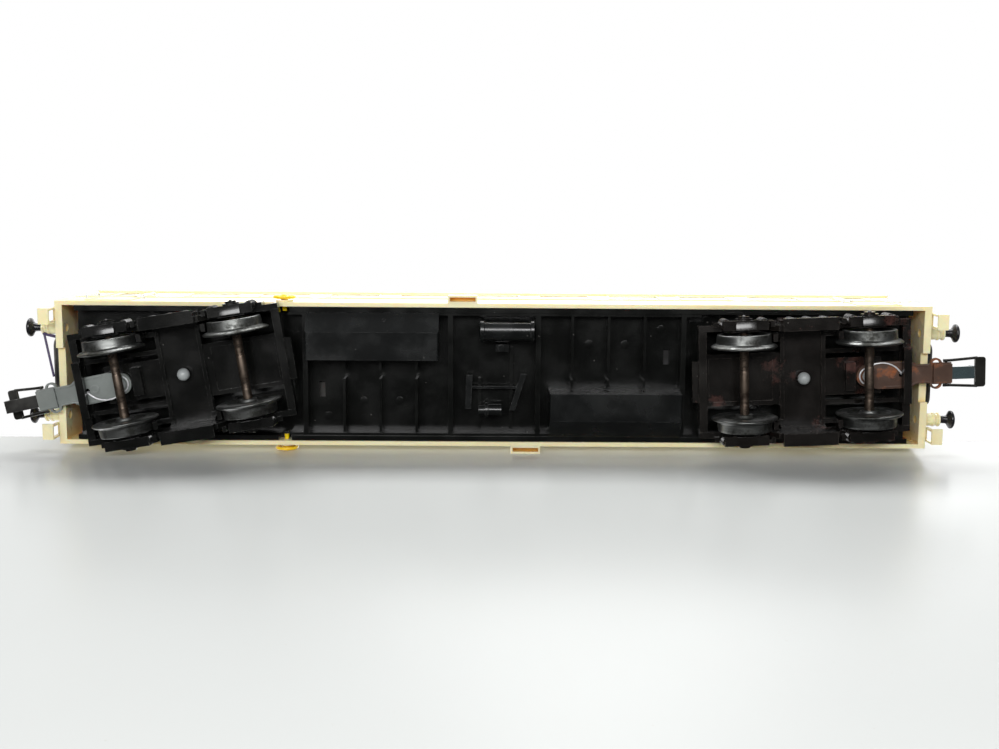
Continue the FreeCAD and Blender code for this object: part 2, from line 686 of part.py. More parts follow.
def make_middle_steps():
    """Hollow step boxes at mid-length, open below, one on each side."""
    face = BODY_HALF_WIDTH
    step = block((3.6, 9.8), (face, face + 1.6), (SILL_Z, 13.6))
    step = step.cut(block((4.0, 9.4), (face + 0.35, face + 1.2), (SILL_Z - 1, 13.2)))
    return both_ends(step)


def make_corner_steps():
    """Foot steps that hang below the headstocks, one at each corner."""
    steps = []
    for end in SIDES:
        for side in SIDES:
            y_span = sorted((side * 10.4, side * 13.7))
            tread = block(sorted((end * 91.7, end * 93.9)), y_span, (7.7, 8.2))
            arms = []
            for y in (10.6, 13.2):
                arm_span = sorted((side * y, side * (y + 0.4)))
                arms.append(block(sorted((end * 91.6, end * 92.3)), arm_span, (7.8, 12.4)))
            lug = block(sorted((end * 91.5, end * 92.3)), y_span, (12.2, 13.0))
            bore = rod(1.9, (end * 91, side * BUFFER_Y, BUFFER_Z),
                       (end * 93, side * BUFFER_Y, BUFFER_Z))
            steps.append(fuse([tread, lug] + arms).cut(bore))
    return steps


def make_buffer_sleeves():
    """Four buffer sleeves on round feet on the end walls."""
    sleeves = []
    for end in SIDES:
        for side in SIDES:
            profile = [(0.86, 0.0), (1.75, 0.0), (1.75, 0.4), (1.15, 0.6),
                       (1.15, SLEEVE_END_X - BODY_HALF_LENGTH),
                       (0.86, SLEEVE_END_X - BODY_HALF_LENGTH)]
            if end < 0:
                profile = [(radius, -distance) for radius, distance in profile]
            centre = (end * BODY_HALF_LENGTH, side * BUFFER_Y, BUFFER_Z)
            sleeves.append(turned(profile, centre, "x"))
    return sleeves


def make_buffer(end, side):
    """Buffer plunger: stem in the sleeve, short neck and a domed head."""
    back = BUFFER_FACE_X - 1.25
    profile = [(0, 90.9), (0.8, 90.9), (0.8, back - 0.35), (1.2, back - 0.1), (1.95, back),
               (1.95, back + 0.75), (1.5, BUFFER_FACE_X - 0.18), (0.8, BUFFER_FACE_X - 0.04),
               (0, BUFFER_FACE_X)]
    if end < 0:
        profile = [(radius, -distance) for radius, distance in profile]
    return turned(profile, (0, side * BUFFER_Y, BUFFER_Z), "x")


def make_brake_hose():
    """Rigid hose moulding that leans across the left headstock above the coupler."""
    start, knee, end = (-91.3, -6.9, 14.3), (-94.4, -8.0, 12.4), (-92.6, 1.0, 12.0)
    pieces = [rod(0.32, start, knee), Part.makeSphere(0.32, vec(*knee)), rod(0.24, knee, end)]
    return fuse(pieces)


def make_end_door(end):
    """Gangway door that closes the opening in the end wall."""
    inner, outer = BODY_HALF_LENGTH - END_WALL + 0.3, BODY_HALF_LENGTH - 0.3
    x_span = sorted((end * inner, end * outer))
    door = block(x_span, (-END_DOOR_HALF, END_DOOR_HALF), END_DOOR_Z)
    pane = block(sorted((end * (outer - 0.3), end * (outer + 1))), (-2.6, 2.6), (26.0, 33.5))
    return door.cut(pane)


def make_gangway(end):
    """Rubber gangway surround that stands out around the end door."""
    x_span = sorted((end * BODY_HALF_LENGTH, end * (BODY_HALF_LENGTH + 2.3)))
    outer = rounded(block(x_span, (-6.6, 6.6), (15.6, 38.2)), 1.6, vec(1, 0, 0))
    inner = rounded(block((x_span[0] - 1, x_span[1] + 1), (-4.6, 4.6), (16.6, 36.2)), 0.8,
                    vec(1, 0, 0))
    return outer.cut(inner)


# ---- interior ----
def make_interior_floor():
    """Passenger floor moulding that clips over the ballast weight."""
    plate = block((-86.0, 86.0), (-13.2, 13.2), (SEAT_FLOOR_Z, SEAT_FLOOR_Z + 0.8))
    legs = [block((x - 1, x + 1), (-13.0, 13.0), (FLOOR_Z + FLOOR_THICKNESS, SEAT_FLOOR_Z + 0.1))
            for x in (-84.0, -56.0, 56.0, 84.0)]
    return fuse([plate] + legs)


def seat_bench(x, side):
    """Double bench with its back, on one side of the aisle."""
    y_span = sorted((side * 4.2, side * 12.9))
    base_z = SEAT_FLOOR_Z + 0.8
    seat = block((x - 2.4, x + 2.4), y_span, (base_z, base_z + 4.6))
    back = block((x - 0.5, x + 0.5), y_span, (base_z, base_z + 11.0))
    return fuse([seat, back])


def make_seats():
    """Rows of back-to-back benches, two to each window bay."""
    seats = []
    for x in [WINDOW_PITCH * (step + 0.5) for step in range(-4, 4)]:
        seats += [seat_bench(x, side) for side in SIDES]
    return seats


def make_partitions():
    """Cross walls between the saloon and the entrance lobbies, with a doorway in each."""
    walls = []
    base_z = SEAT_FLOOR_Z + 0.8
    for x in (-71.5, 71.5):
        wall = block((x - 0.4, x + 0.4), (-13.0, 13.0), (base_z, 35.5))
        walls.append(wall.cut(block((x - 1, x + 1), (-3.4, 3.4), (base_z - 1, 32.0))))
    return walls


def make_ballast():
    """Steel weight laid on the floor under the seats."""
    plate_z = (FLOOR_Z + FLOOR_THICKNESS, SEAT_FLOOR_Z - 0.1)
    return block((-52.0, 52.0), (-9.0, 9.0), plate_z)


# ---- all nodes ----
def save_body():
    """Write the nodes of the coach body."""
    save("body_shell", [make_body_shell()])
    save("roof", [make_roof()])
    save("roof_vents", make_roof_vents())
    save("glazing_near", [make_glazing(-1)])
    save("glazing_far", [make_glazing(1)])
    for end, sign in zip(ENDS, SIDES):
        save(f"end_door_{end}", [make_end_door(sign)])
        save(f"gangway_{end}", [make_gangway(sign)])
        save(f"pivot_pin_{end}", [make_pivot_pin(end)])
    save("chassis_floor", [make_floor()])
    left_box, right_box = make_battery_boxes()
    save("battery_box_left", [left_box])
    save("battery_box_right", [right_box])
    save("air_reservoir", [make_reservoir()])
    save("distributor_valve", [make_valve()])
    save("brake_cylinder", [make_brake_cylinder()])
    save("brake_levers", [make_brake_levers()])
    save("handwheel_near", [make_handwheel(-1)])
    save("handwheel_far", [make_handwheel(1)])
    save("handwheel_bosses", make_wheel_bosses())
    save("middle_steps", make_middle_steps())
    save("corner_steps", make_corner_steps())
    save("buffer_sleeves", make_buffer_sleeves())
    save("brake_hose", [make_brake_hose()])
    save("interior_floor", [make_interior_floor()])
    save("seats", make_seats())
    save("partitions", make_partitions())
    save("ballast_weight", [make_ballast()])


def save_buffers():
    """Write the four buffer plungers."""
    for end, sign in zip(ENDS, SIDES):
        for name, side in (("near", -1), ("far", 1)):
            save(f"buffer_{end}_{name}", [make_buffer(sign, side)])


def save_bogie(end, hook_length):
    """Write the nodes of one bogie, with its wheelsets and coupler."""
    save(f"bogie_frame_{end}", [on_bogie(make_bogie_frame(), end)])
    for place, sign in (("inner", -1), ("outer", 1)):
        x = sign * BOGIE_WHEELBASE / 2
        save(f"axle_{end}_{place}", [on_bogie(make_axle(x), end)])
        wheels = [on_bogie(make_wheel(x, side), end) for side in SIDES]
        save(f"wheels_{end}_{place}", wheels)
    save(f"coupler_shank_{end}", [on_coupler(make_shank(), end)])
    save(f"coupler_hook_{end}", [on_coupler(make_hook(hook_length), end)])
    save(f"coupler_loop_{end}", [on_coupler(make_loop(end), end)])
    save(f"coupler_spring_{end}", [on_coupler(make_centring_spring(), end)])
    save(f"coupler_pin_{end}", [on_bogie(make_coupler_pin(), end)])


def main():
    """Write every node to the parts folder."""
    os.makedirs("parts", exist_ok=True)
    save_body()
    save_buffers()
    save_bogie("left", 7.0)
    save_bogie("right", 4.8)


if __name__ == "__main__":
    main()
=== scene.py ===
import json
import logging
import math
from dataclasses import dataclass
from enum import Enum

import bmesh
import bpy
import numpy as np
from mathutils import Matrix, Vector


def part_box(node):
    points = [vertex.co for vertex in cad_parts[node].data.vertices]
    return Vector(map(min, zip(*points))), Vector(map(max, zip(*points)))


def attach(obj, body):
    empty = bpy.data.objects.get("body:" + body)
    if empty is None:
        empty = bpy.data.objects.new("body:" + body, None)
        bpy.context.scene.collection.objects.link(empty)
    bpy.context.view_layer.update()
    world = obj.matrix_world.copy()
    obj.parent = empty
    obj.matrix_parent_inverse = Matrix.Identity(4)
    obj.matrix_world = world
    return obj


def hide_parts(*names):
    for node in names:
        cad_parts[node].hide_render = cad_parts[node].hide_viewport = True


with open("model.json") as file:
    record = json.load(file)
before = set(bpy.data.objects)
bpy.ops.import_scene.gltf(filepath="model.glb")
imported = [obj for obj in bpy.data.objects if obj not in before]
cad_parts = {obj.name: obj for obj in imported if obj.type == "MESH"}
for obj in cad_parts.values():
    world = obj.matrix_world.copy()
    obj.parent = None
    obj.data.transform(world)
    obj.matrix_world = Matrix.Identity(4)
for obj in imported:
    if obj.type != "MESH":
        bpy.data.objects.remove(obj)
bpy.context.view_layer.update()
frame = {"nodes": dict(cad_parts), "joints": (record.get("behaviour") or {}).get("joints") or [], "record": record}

MM = 0.001
JOINTS = {joint["name"]: joint for joint in frame["joints"]}
LOG = logging.getLogger("passenger_coach")
Array = np.ndarray
Socket = bpy.types.NodeSocket
Colour = tuple[float, float, float]
Point = tuple[float, float, float]
UP = np.array([0.0, 0.0, 1.0])
RELIEF = 0.02 * MM
# Reach of the ambient occlusion that finds the hollows given painted shade.
PAINTED_SHADE_REACH = 5.0 * MM


class Side(Enum):
    """The two long sides of the coach."""
    near = -1
    far = 1


class End(Enum):
    """The two ends of the coach."""
    left = -1
    right = 1


# ---- surfaces ----
@dataclass(frozen=True)
class Place:
    """A local frame: an origin and three unit axes, in metres."""
    origin: Array
    ahead: Array
    side: Array
    up: Array

    def put(self, points: Array) -> Array:
        """Carry local points to the coach's frame: origin plus each coordinate along its axis.

        Args:
            points: Array whose last axis holds local x, y and z.
        Returns:
            Array of the same shape in the coach's frame.
        """
        return self.origin + points @ np.stack([self.ahead, self.side, self.up])

    def at(self, x: float, y: float, z: float) -> "Place":
        """The same axes with the origin moved to a local point, given in metres."""
        return Place(self.put(np.array([x, y, z])), self.ahead, self.side, self.up)

    def turned_to(self, ahead: str, side: str) -> "Place":
        """A frame whose first two axes are named axes of this one.

        Args:
            ahead: Name of the axis that becomes ahead, with a leading minus to reverse it.
            side: Name of the axis that becomes side.
        Returns:
            The new frame at the same origin.
        """
        axes = {"x": self.ahead, "y": self.side, "z": self.up}
        first, second = ((-axes[n[1:]] if n[0] == "-" else axes[n]) for n in (ahead, side))
        return Place(self.origin, first, second, np.cross(first, second))


@dataclass(frozen=True)
class Patch:
    """A grid of points and the UV of each point."""
    points: Array
    uv: Array


COACH = Place(np.zeros(3), *np.eye(3))


def grid(points: Array) -> Patch:
    """Wrap an array of points as a patch whose UV is the share of the way along each side.

    Args:
        points: Array of rows by columns by 3.
    Returns:
        The patch.
    """
    rows, columns = points.shape[:2]
    u, v = np.meshgrid(np.linspace(0, 1, rows), np.linspace(0, 1, columns), indexing="ij")
    return Patch(points, np.stack([u, v], axis=-1))


def soften(points: Array, radius: float, steps: int = 4, closed: bool = False) -> Array:
    """Round a line's corners: each becomes a quadratic curve between points before and after it.

    Args:
        points: Corners, any number of coordinates each.
        radius: Distance from a corner at which its curve starts, cut to 0.45 of the nearer run.
        steps: Points on each curve, less one.
        closed: Whether the last corner joins the first.
    Returns:
        The rounded line's points.
    """
    points = np.asarray(points, float)
    before, after = np.roll(points, 1, axis=0) - points, np.roll(points, -1, axis=0) - points
    length_a = np.linalg.norm(before, axis=1, keepdims=True)
    length_b = np.linalg.norm(after, axis=1, keepdims=True)
    reach = np.minimum(radius, 0.45 * np.minimum(length_a, length_b))
    start = points + before / np.maximum(length_a, 1e-12) * reach
    finish = points + after / np.maximum(length_b, 1e-12) * reach
    t = np.linspace(0, 1, steps + 1)[None, :, None]
    curve = ((1 - t) ** 2 * start[:, None] + 2 * t * (1 - t) * points[:, None]
             + t ** 2 * finish[:, None])
    if closed:
        return curve.reshape(-1, points.shape[1])
    inner = curve[1:-1].reshape(-1, points.shape[1])
    return np.vstack([points[:1], inner, points[-1:]])


def turned(profile: Array, place: Place, steps: int = 48) -> Patch:
    """Surface of revolution: each profile point (along, radius) goes round the place's ahead axis.

    Args:
        profile: Rows of distance along the axis and radius.
        place: Frame whose ahead axis is the axis of turning.
        steps: Faces round the turn.
    Returns:
        The patch.
    """
    profile = np.asarray(profile, float)
    angle = np.linspace(0, 2 * math.pi, steps + 1)[None, :]
    along = np.broadcast_to(profile[:, :1], (len(profile), steps + 1))
    radius = profile[:, 1:]
    local = np.stack([along, radius * np.cos(angle), radius * np.sin(angle)], axis=-1)
    return grid(place.put(local))


def swept(outline: Array, path: Array, upright: Array, closed: bool = False) -> Patch:
    """Carry a closed outline along a path: path point plus its x along side and its y along up.

    Side is upright crossed with the path's direction, and up is the direction crossed with side.

    Args:
        outline: Closed section, in order, without its first point repeated.
        path: Points of the path.
        upright: Direction that is never along the path.
        closed: Whether the path joins itself, or ends in two closed caps.
    Returns:
        The patch.
    """
    ring = np.vstack([outline, outline[:1]])
    if closed:
        direction = np.roll(path, -1, axis=0) - np.roll(path, 1, axis=0)
    else:
        direction = np.gradient(path, axis=0)
    direction = direction / np.linalg.norm(direction, axis=1, keepdims=True)
    side = np.cross(upright, direction)
    side = side / np.linalg.norm(side, axis=1, keepdims=True)
    up = np.cross(direction, side)
    points = (path[:, None] + ring[None, :, :1] * side[:, None]
              + ring[None, :, 1:] * up[:, None])
    if closed:
        points = np.concatenate([points, points[:1]])
    else:
        caps = [np.broadcast_to(points[i, :-1].mean(axis=0), points[:1].shape) for i in (0, -1)]
        points = np.concatenate([caps[0], points, caps[1]])
    return grid(points)


def circle(radius: float, sides: int) -> Array:
    """Points of a circle: radius times the cosine and sine of evenly spaced angles."""
    angle = np.arange(sides) * (2 * math.pi / sides)
    return radius * np.stack([np.cos(angle), np.sin(angle)], axis=-1)


def round_rectangle(half_width: float, half_height: float, radius: float,
                    steps: int = 5) -> Array:
    """Rectangle with arc corners: four corner centres, each plus radius times a quarter turn.

    Args:
        half_width: Half the width, in metres.
        half_height: Half the height, in metres.
        radius: Corner radius.
        steps: Points on each corner, less one.
    Returns:
        Closed outline without its first point repeated.
    """
    quarter = np.linspace(0, math.pi / 2, steps + 1)
    angle = quarter[None, :] + np.arange(4)[:, None] * (math.pi / 2)
    signs = np.array([[1, 1], [-1, 1], [-1, -1], [1, -1]])
    centre = signs * (np.array([half_width, half_height]) - radius)
    turn = np.stack([np.cos(angle), np.sin(angle)], axis=-1)
    return (centre[:, None] + radius * turn).reshape(-1, 2)


def rounded_box(size: Point, radius: float, place: Place, steps: int = 3) -> Patch:
    """Box with round edges: the corner centre nearest each direction plus radius times it.

    Args:
        size: Full length, width and height, in metres.
        radius: Edge radius.
        place: Frame at the box's centre.
        steps: Faces on each quarter turn.
    Returns:
        The patch, closed by a fan at each end.
    """
    half = np.array(size) / 2 - radius
    quarter = np.linspace(0, math.pi / 2, steps + 1)
    around = (quarter[None, :] + np.arange(4)[:, None] * (math.pi / 2)).ravel()
    corner_y = np.repeat(np.array([1, -1, -1, 1]), steps + 1) * half[1]
    corner_z = np.repeat(np.array([1, 1, -1, -1]), steps + 1) * half[2]
    tilt = np.concatenate([quarter - math.pi / 2, quarter])[:, None]
    end = np.repeat(np.array([-1, 1]), steps + 1)[:, None] * half[0]
    x = np.broadcast_to(end + radius * np.sin(tilt), (len(tilt), len(around)))
    y = corner_y + radius * np.cos(tilt) * np.cos(around)
    z = corner_z + radius * np.cos(tilt) * np.sin(around)
    local = np.stack([x, y, z], axis=-1)
    local = np.concatenate([local, local[:, :1]], axis=1)
    caps = [np.broadcast_to([sign * (half[0] + radius), 0, 0], local[:1].shape)
            for sign in (-1, 1)]
    return grid(place.put(np.concatenate([caps[0], local, caps[1]])))


def coil(place: Place, radius: float, wire: float, length: float, turns: float,
         sides: int = 8) -> Patch:
    """Coil spring along the place's up axis: a circle that rises evenly with its angle.

    Args:
        place: Frame at the middle of the coil's lower end.
        radius: Radius of the wire's centre line.
        wire: Radius of the wire.
        length: Height from the first to the last centre.
        turns: Number of turns.
        sides: Faces round the wire.
    Returns:
        The patch.
    """
    share = np.linspace(0, 1, int(turns * 20) + 1)
    angle = share * turns * 2 * math.pi
    local = np.stack([radius * np.cos(angle), radius * np.sin(angle), share * length], axis=-1)
    return swept(circle(wire, sides), place.put(local), place.up)


def dome(place: Place, radius: float, height: float) -> Patch:
    """Rivet head: a low cap whose height falls as the cosine, standing out along ahead.

    Args:
        place: Frame at the middle of the head's foot.
        radius: Radius of the foot.
        height: Height of the crown.
    Returns:
        The patch, which also reaches a little way into the surface under it.
    """
    angle = np.linspace(0, math.pi / 2, 5)
    cap = np.stack([height * np.cos(angle), radius * np.sin(angle)], axis=-1)
    return turned(np.vstack([cap, [[-0.3 * height, radius], [-0.3 * height, 0]]]), place, 10)


def make_piece(name: str, patches: list[Patch], sharp: float = 38.0) -> bpy.types.Object:
    """Join patches into one mesh: every four neighbouring grid points make a face.

    Args:
        name: Name of the piece.
        patches: Surfaces, each closed.
        sharp: Angle between faces, in degrees, above which an edge shows sharp.
    Returns:
        The object, at the origin.
    """
    corners, texture, faces, start = [], [], [], 0
    for patch in patches:
        rows, columns = patch.points.shape[:2]
        index = start + np.arange(rows * columns).reshape(rows, columns)
        quads = np.stack([index[:-1, :-1], index[1:, :-1], index[1:, 1:], index[:-1, 1:]], axis=-1)
        faces.append(quads.reshape(-1, 4))
        corners.append(patch.points.reshape(-1, 3))
        texture.append(patch.uv.reshape(-1, 2))
        start += rows * columns
    corners, texture, faces = (np.concatenate(part) for part in (corners, texture, faces))
    mesh = bpy.data.meshes.new(name)
    mesh.vertices.add(len(corners))
    mesh.vertices.foreach_set("co", corners.astype(np.float32).ravel())
    mesh.loops.add(faces.size)
    mesh.loops.foreach_set("vertex_index", faces.astype(np.int32).ravel())
    mesh.polygons.add(len(faces))
    mesh.polygons.foreach_set("loop_start", np.arange(0, faces.size, 4, dtype=np.int32))
    mesh.update(calc_edges=True)
    layer = mesh.uv_layers.new(name="UVMap")
    layer.data.foreach_set("uv", texture[faces.ravel()].astype(np.float32).ravel())
    work = bmesh.new()
    work.from_mesh(mesh)
    bmesh.ops.remove_doubles(work, verts=work.verts, dist=2e-7)
    bmesh.ops.dissolve_degenerate(work, edges=work.edges, dist=1e-7)
    bmesh.ops.recalc_face_normals(work, faces=work.faces)
    for face in work.faces:
        face.smooth = True
    work.to_mesh(mesh)
    work.free()
    mesh.set_sharp_from_angle(angle=math.radians(sharp))
    piece = bpy.data.objects.new(name, mesh)
    bpy.context.scene.collection.objects.link(piece)
    return piece


# ---- shader tools ----
class Graph:
    """A node tree and short ways to add nodes to it."""

    def __init__(self, tree: bpy.types.NodeTree) -> None:
        """Keep the tree that nodes are added to."""
        self.tree = tree

    def node(self, kind: str, inputs: dict, **settings: object) -> bpy.types.Node:
        """Add a node and feed its inputs.

        Args:
            kind: The node's class name, without its Shader prefix.
            inputs: Input name or number to a socket, which is linked, or a plain value.
            settings: Attributes set on the node first.
        Returns:
            The node.
        """
        new = self.tree.nodes.new("ShaderNode" + kind)
        for key, value in settings.items():
            setattr(new, key, value)
        return self.feed(new, inputs)

    def feed(self, node: bpy.types.Node, inputs: dict) -> bpy.types.Node:
        """Link or set a node's inputs.

        Args:
            node: The node.
            inputs: Input name or number to a socket, which is linked, or a plain value.
        Returns:
            The same node.
        """
        for key, value in inputs.items():
            if isinstance(value, Socket):
                self.tree.links.new(value, node.inputs[key])
            else:
                node.inputs[key].default_value = value
        return node

    def bump(self, height: Socket, strength: float) -> Socket:
        """Normal that a height field gives at the depth of moulded relief."""
        return self.node("Bump", {"Height": height, "Strength": strength,
                                  "Distance": RELIEF}).outputs[0]

    def math(self, operation: str, first: object, second: object = 0.0,
             clamp: bool = False) -> Socket:
        """Result of one Math node, held between 0 and 1 where clamp is set."""
        return self.node("Math", {0: first, 1: second}, operation=operation,
                         use_clamp=clamp).outputs[0]

    def remap(self, value: Socket, low: float, high: float, to_low: float = 0.0,
              to_high: float = 1.0) -> Socket:
        """Value stretched smoothly from one range to another and held at the ends."""
        return self.node("MapRange", {0: value, 1: low, 2: high, 3: to_low, 4: to_high},
                         interpolation_type="SMOOTHSTEP").outputs[0]

    def blend(self, mask: object, first: object, second: object) -> Socket:
        """Colour that goes from the first to the second with the mask."""
        mix = self.node("Mix", {0: mask, 6: first, 7: second}, data_type="RGBA")
        return mix.outputs[2]

    def noise(self, vector: Socket, scale: object, detail: float,
              rough: float = 0.55) -> Socket:
        """Noise value between 0 and 1."""
        return self.node("TexNoise", {"Vector": vector, "Scale": scale, "Detail": detail,
                                      "Roughness": rough}).outputs["Fac"]


GROUPS: dict[str, bpy.types.NodeTree] = {}


def open_group(name: str, inputs: dict[str, float],
               outputs: list[str]) -> tuple[Graph, dict[str, Socket], bpy.types.Node]:
    """Start a shared shader effect with a Vector input and named float inputs and outputs.

    Args:
        name: Name of the group.
        inputs: Float inputs and their usual values.
        outputs: Float outputs.
    Returns:
        The graph inside, its input sockets by name and its output node.
    """
    tree = bpy.data.node_groups.new(name, "ShaderNodeTree")
    tree.interface.new_socket("Vector", in_out="INPUT", socket_type="NodeSocketVector")
    for key, value in inputs.items():
        made = tree.interface.new_socket(key, in_out="INPUT", socket_type="NodeSocketFloat")
        made.default_value = value
    for key in outputs:
        tree.interface.new_socket(key, in_out="OUTPUT", socket_type="NodeSocketFloat")
    graph = Graph(tree)
    source = tree.nodes.new("NodeGroupInput")
    sink = tree.nodes.new("NodeGroupOutput")
    GROUPS[name] = tree
    return graph, {socket.name: socket for socket in source.outputs if socket.name}, sink


def make_grain() -> None:
    """Moulded grain: broad waves of the tool's surface plus a fine spark-eroded grain."""
    graph, given, sink = open_group("moulded_grain", {"Scale": 1.0, "Fine": 0.4},
                                    ["Height", "Shade"])
    broad = graph.noise(given["Vector"], graph.math("MULTIPLY", given["Scale"], 160.0), 3.0)
    fine = graph.noise(given["Vector"], graph.math("MULTIPLY", given["Scale"], 5200.0), 2.0, 0.7)
    height = graph.math("ADD", broad, graph.math("MULTIPLY", fine, given["Fine"]))
    graph.feed(sink, {"Height": height, "Shade": graph.remap(broad, 0.3, 0.7)})


def make_edge_wear() -> None:
    """Edge wear: where the rounded and the true normals part, broken up by noise."""
    graph, given, sink = open_group("edge_wear", {"Width": 0.0002, "Amount": 0.5}, ["Mask"])
    rounded = graph.node("Bevel", {"Radius": given["Width"]}, samples=4).outputs[0]
    true = graph.node("NewGeometry", {}).outputs["Normal"]
    facing = graph.node("VectorMath", {0: rounded, 1: true}, operation="DOT_PRODUCT")
    edge = graph.remap(graph.math("SUBTRACT", 1.0, facing.outputs["Value"]), 0.01, 0.12)
    broken = graph.remap(graph.noise(given["Vector"], 900.0, 5.0, 0.7), 0.42, 0.6)
    worn = graph.math("MULTIPLY", graph.math("MULTIPLY", edge, broken), given["Amount"])
    graph.feed(sink, {"Mask": worn})


def make_dust() -> None:
    """Dust: a thin uneven film plus separate specks at the middles of scattered cells."""
    graph, given, sink = open_group("dust", {"Film": 0.3, "Specks": 0.5}, ["Mask"])
    film = graph.remap(graph.noise(given["Vector"], 75.0, 6.0, 0.65), 0.45, 0.75)
    cells = graph.node("TexVoronoi", {"Vector": given["Vector"], "Scale": 420.0})
    share = graph.node("SeparateColor", {0: cells.outputs["Color"]}).outputs[0]
    size = graph.math("SUBTRACT", graph.math("MULTIPLY", share, 0.16), 0.085)
    speck = graph.math("LESS_THAN", cells.outputs["Distance"], size)
    mask = graph.math("ADD", graph.math("MULTIPLY", film, given["Film"]),
                      graph.math("MULTIPLY", speck, given["Specks"]), True)
    graph.feed(sink, {"Mask": mask})


def make_weathering() -> None:
    """Weathering: large patches whose rims are eaten by finer noise."""
    graph, given, sink = open_group("weathering", {"Scale": 140.0, "Cover": 0.5}, ["Mask"])
    large = graph.noise(given["Vector"], given["Scale"], 2.0)
    small = graph.noise(given["Vector"], graph.math("MULTIPLY", given["Scale"], 7.0), 6.0, 0.7)
    both = graph.math("ADD", large, graph.math("MULTIPLY", small, 0.45))
    floor = graph.math("SUBTRACT", 1.1, graph.math("MULTIPLY", given["Cover"], 0.6))
    mask = graph.math("MULTIPLY", graph.math("SUBTRACT", both, floor), 5.0, True)
    graph.feed(sink, {"Mask": mask})


def make_lathe_rings() -> None:
    """Lathe rings: fine noise that changes along the profile and hardly round the turn."""
    graph, given, sink = open_group("lathe_rings", {"Rings": 220.0}, ["Height", "Shade"])
    squeeze = graph.node("Mapping", {"Vector": given["Vector"], "Scale": (1.0, 0.02, 1.0)})
    rings = graph.noise(squeeze.outputs[0], given["Rings"], 3.0, 0.7)
    graph.feed(sink, {"Height": rings, "Shade": graph.remap(rings, 0.35, 0.65)})


def place_group(graph: Graph, name: str, inputs: dict) -> bpy.types.Node:
    """Put a shared effect in a material and feed its inputs.

    Args:
        graph: The material's graph.
        name: Name of the shared effect.
        inputs: Its inputs, as for any node.
    Returns:
        The group's node.
    """
    new = graph.tree.nodes.new("ShaderNodeGroup")
    new.node_tree = GROUPS[name]
    return graph.feed(new, inputs)


def rgba(colour: Colour) -> tuple[float, float, float, float]:
    """A colour with full alpha."""
    return (*colour, 1.0)


def new_material(name: str) -> tuple[bpy.types.Material, Graph, bpy.types.Node]:
    """Empty material with its Principled shader.

    Args:
        name: Name of the material.
    Returns:
        The material, its graph and the shader.
    """
    material = bpy.data.materials.new(name)
    material.use_nodes = True
    return material, Graph(material.node_tree), material.node_tree.nodes["Principled BSDF"]


# ---- finishes ----
@dataclass(frozen=True)
class Moulding:
    """Moulded plastic or painted metal: two-tone colour, grain, edge wear, dust, patches and painted shade in
    hollows.
    """
    colour: Colour
    second: Colour
    roughness: float = 0.38
    metallic: float = 0.0
    grain: float = 0.35
    fine: float = 0.4
    wear: float = 0.3
    wear_colour: Colour = (0.25, 0.25, 0.25)
    dust: float = 0.12
    specks: float = 0.35
    dust_colour: Colour = (0.5, 0.48, 0.44)
    patches: float = 0.0
    patch_colour: Colour = (0.16, 0.035, 0.012)
    patch_scale: float = 140.0
    # Painted shade: strength and colour laid into hollows that ambient occlusion finds.
    painted_shade: float = 0.0
    painted_shade_colour: Colour = (0.9, 0.5, 0.12)
    subsurface: float = 0.0
    coat: float = 0.0

    def material(self, name: str) -> bpy.types.Material:
        """Build the finish.

        Args:
            name: Name of the material.
        Returns:
            The material.
        """
        made, graph, shader = new_material(name)
        where = graph.node("TexCoord", {}).outputs["Object"]
        grain = place_group(graph, "moulded_grain", {"Vector": where, "Fine": self.fine})
        worn = place_group(graph, "edge_wear", {"Vector": where, "Amount": self.wear})
        dust = place_group(graph, "dust", {"Vector": where, "Film": self.dust,
                                           "Specks": self.specks})
        colour = graph.blend(grain.outputs["Shade"], rgba(self.colour), rgba(self.second))
        rough = graph.remap(grain.outputs["Shade"], 0.0, 1.0, self.roughness * 0.85,
                            self.roughness * 1.2)
        # Painted shade: where ambient occlusion finds the surface hidden, the colour turns amber, standing in for
        # shade and light glowing through the thin plastic.
        if self.painted_shade:
            occlusion = graph.node("AmbientOcclusion", {"Distance": PAINTED_SHADE_REACH}, samples=6,
                                 only_local=True)
            painted_shade_mask = graph.math("SUBTRACT", 1.0, occlusion.outputs["AO"])
            painted_shade_mask = graph.math("MULTIPLY", painted_shade_mask, self.painted_shade, True)
            colour = graph.blend(painted_shade_mask, colour, rgba(self.painted_shade_colour))
        if self.patches:
            eaten = place_group(graph, "weathering", {"Vector": where, "Cover": self.patches,
                                                      "Scale": self.patch_scale})
            colour = graph.blend(eaten.outputs["Mask"], colour, rgba(self.patch_colour))
            rough = graph.math("ADD", rough, graph.math("MULTIPLY", eaten.outputs["Mask"], 0.3))
        colour = graph.blend(worn.outputs["Mask"], colour, rgba(self.wear_colour))
        colour = graph.blend(dust.outputs["Mask"], colour, rgba(self.dust_colour))
        rough = graph.math("ADD", rough, graph.math("MULTIPLY", dust.outputs["Mask"], 0.4), True)
        normal = graph.bump(grain.outputs["Height"], self.grain)
        graph.feed(shader, {"Base Color": colour, "Roughness": rough, "Normal": normal,
                            "Metallic": self.metallic, "Coat Weight": self.coat,
                            "Coat Roughness": 0.12})
        if self.subsurface:
            graph.feed(shader, {"Subsurface Weight": self.subsurface,
                                "Subsurface Radius": (1.0, 0.55, 0.2),
                                "Subsurface Scale": 1.6 * MM})
        return made


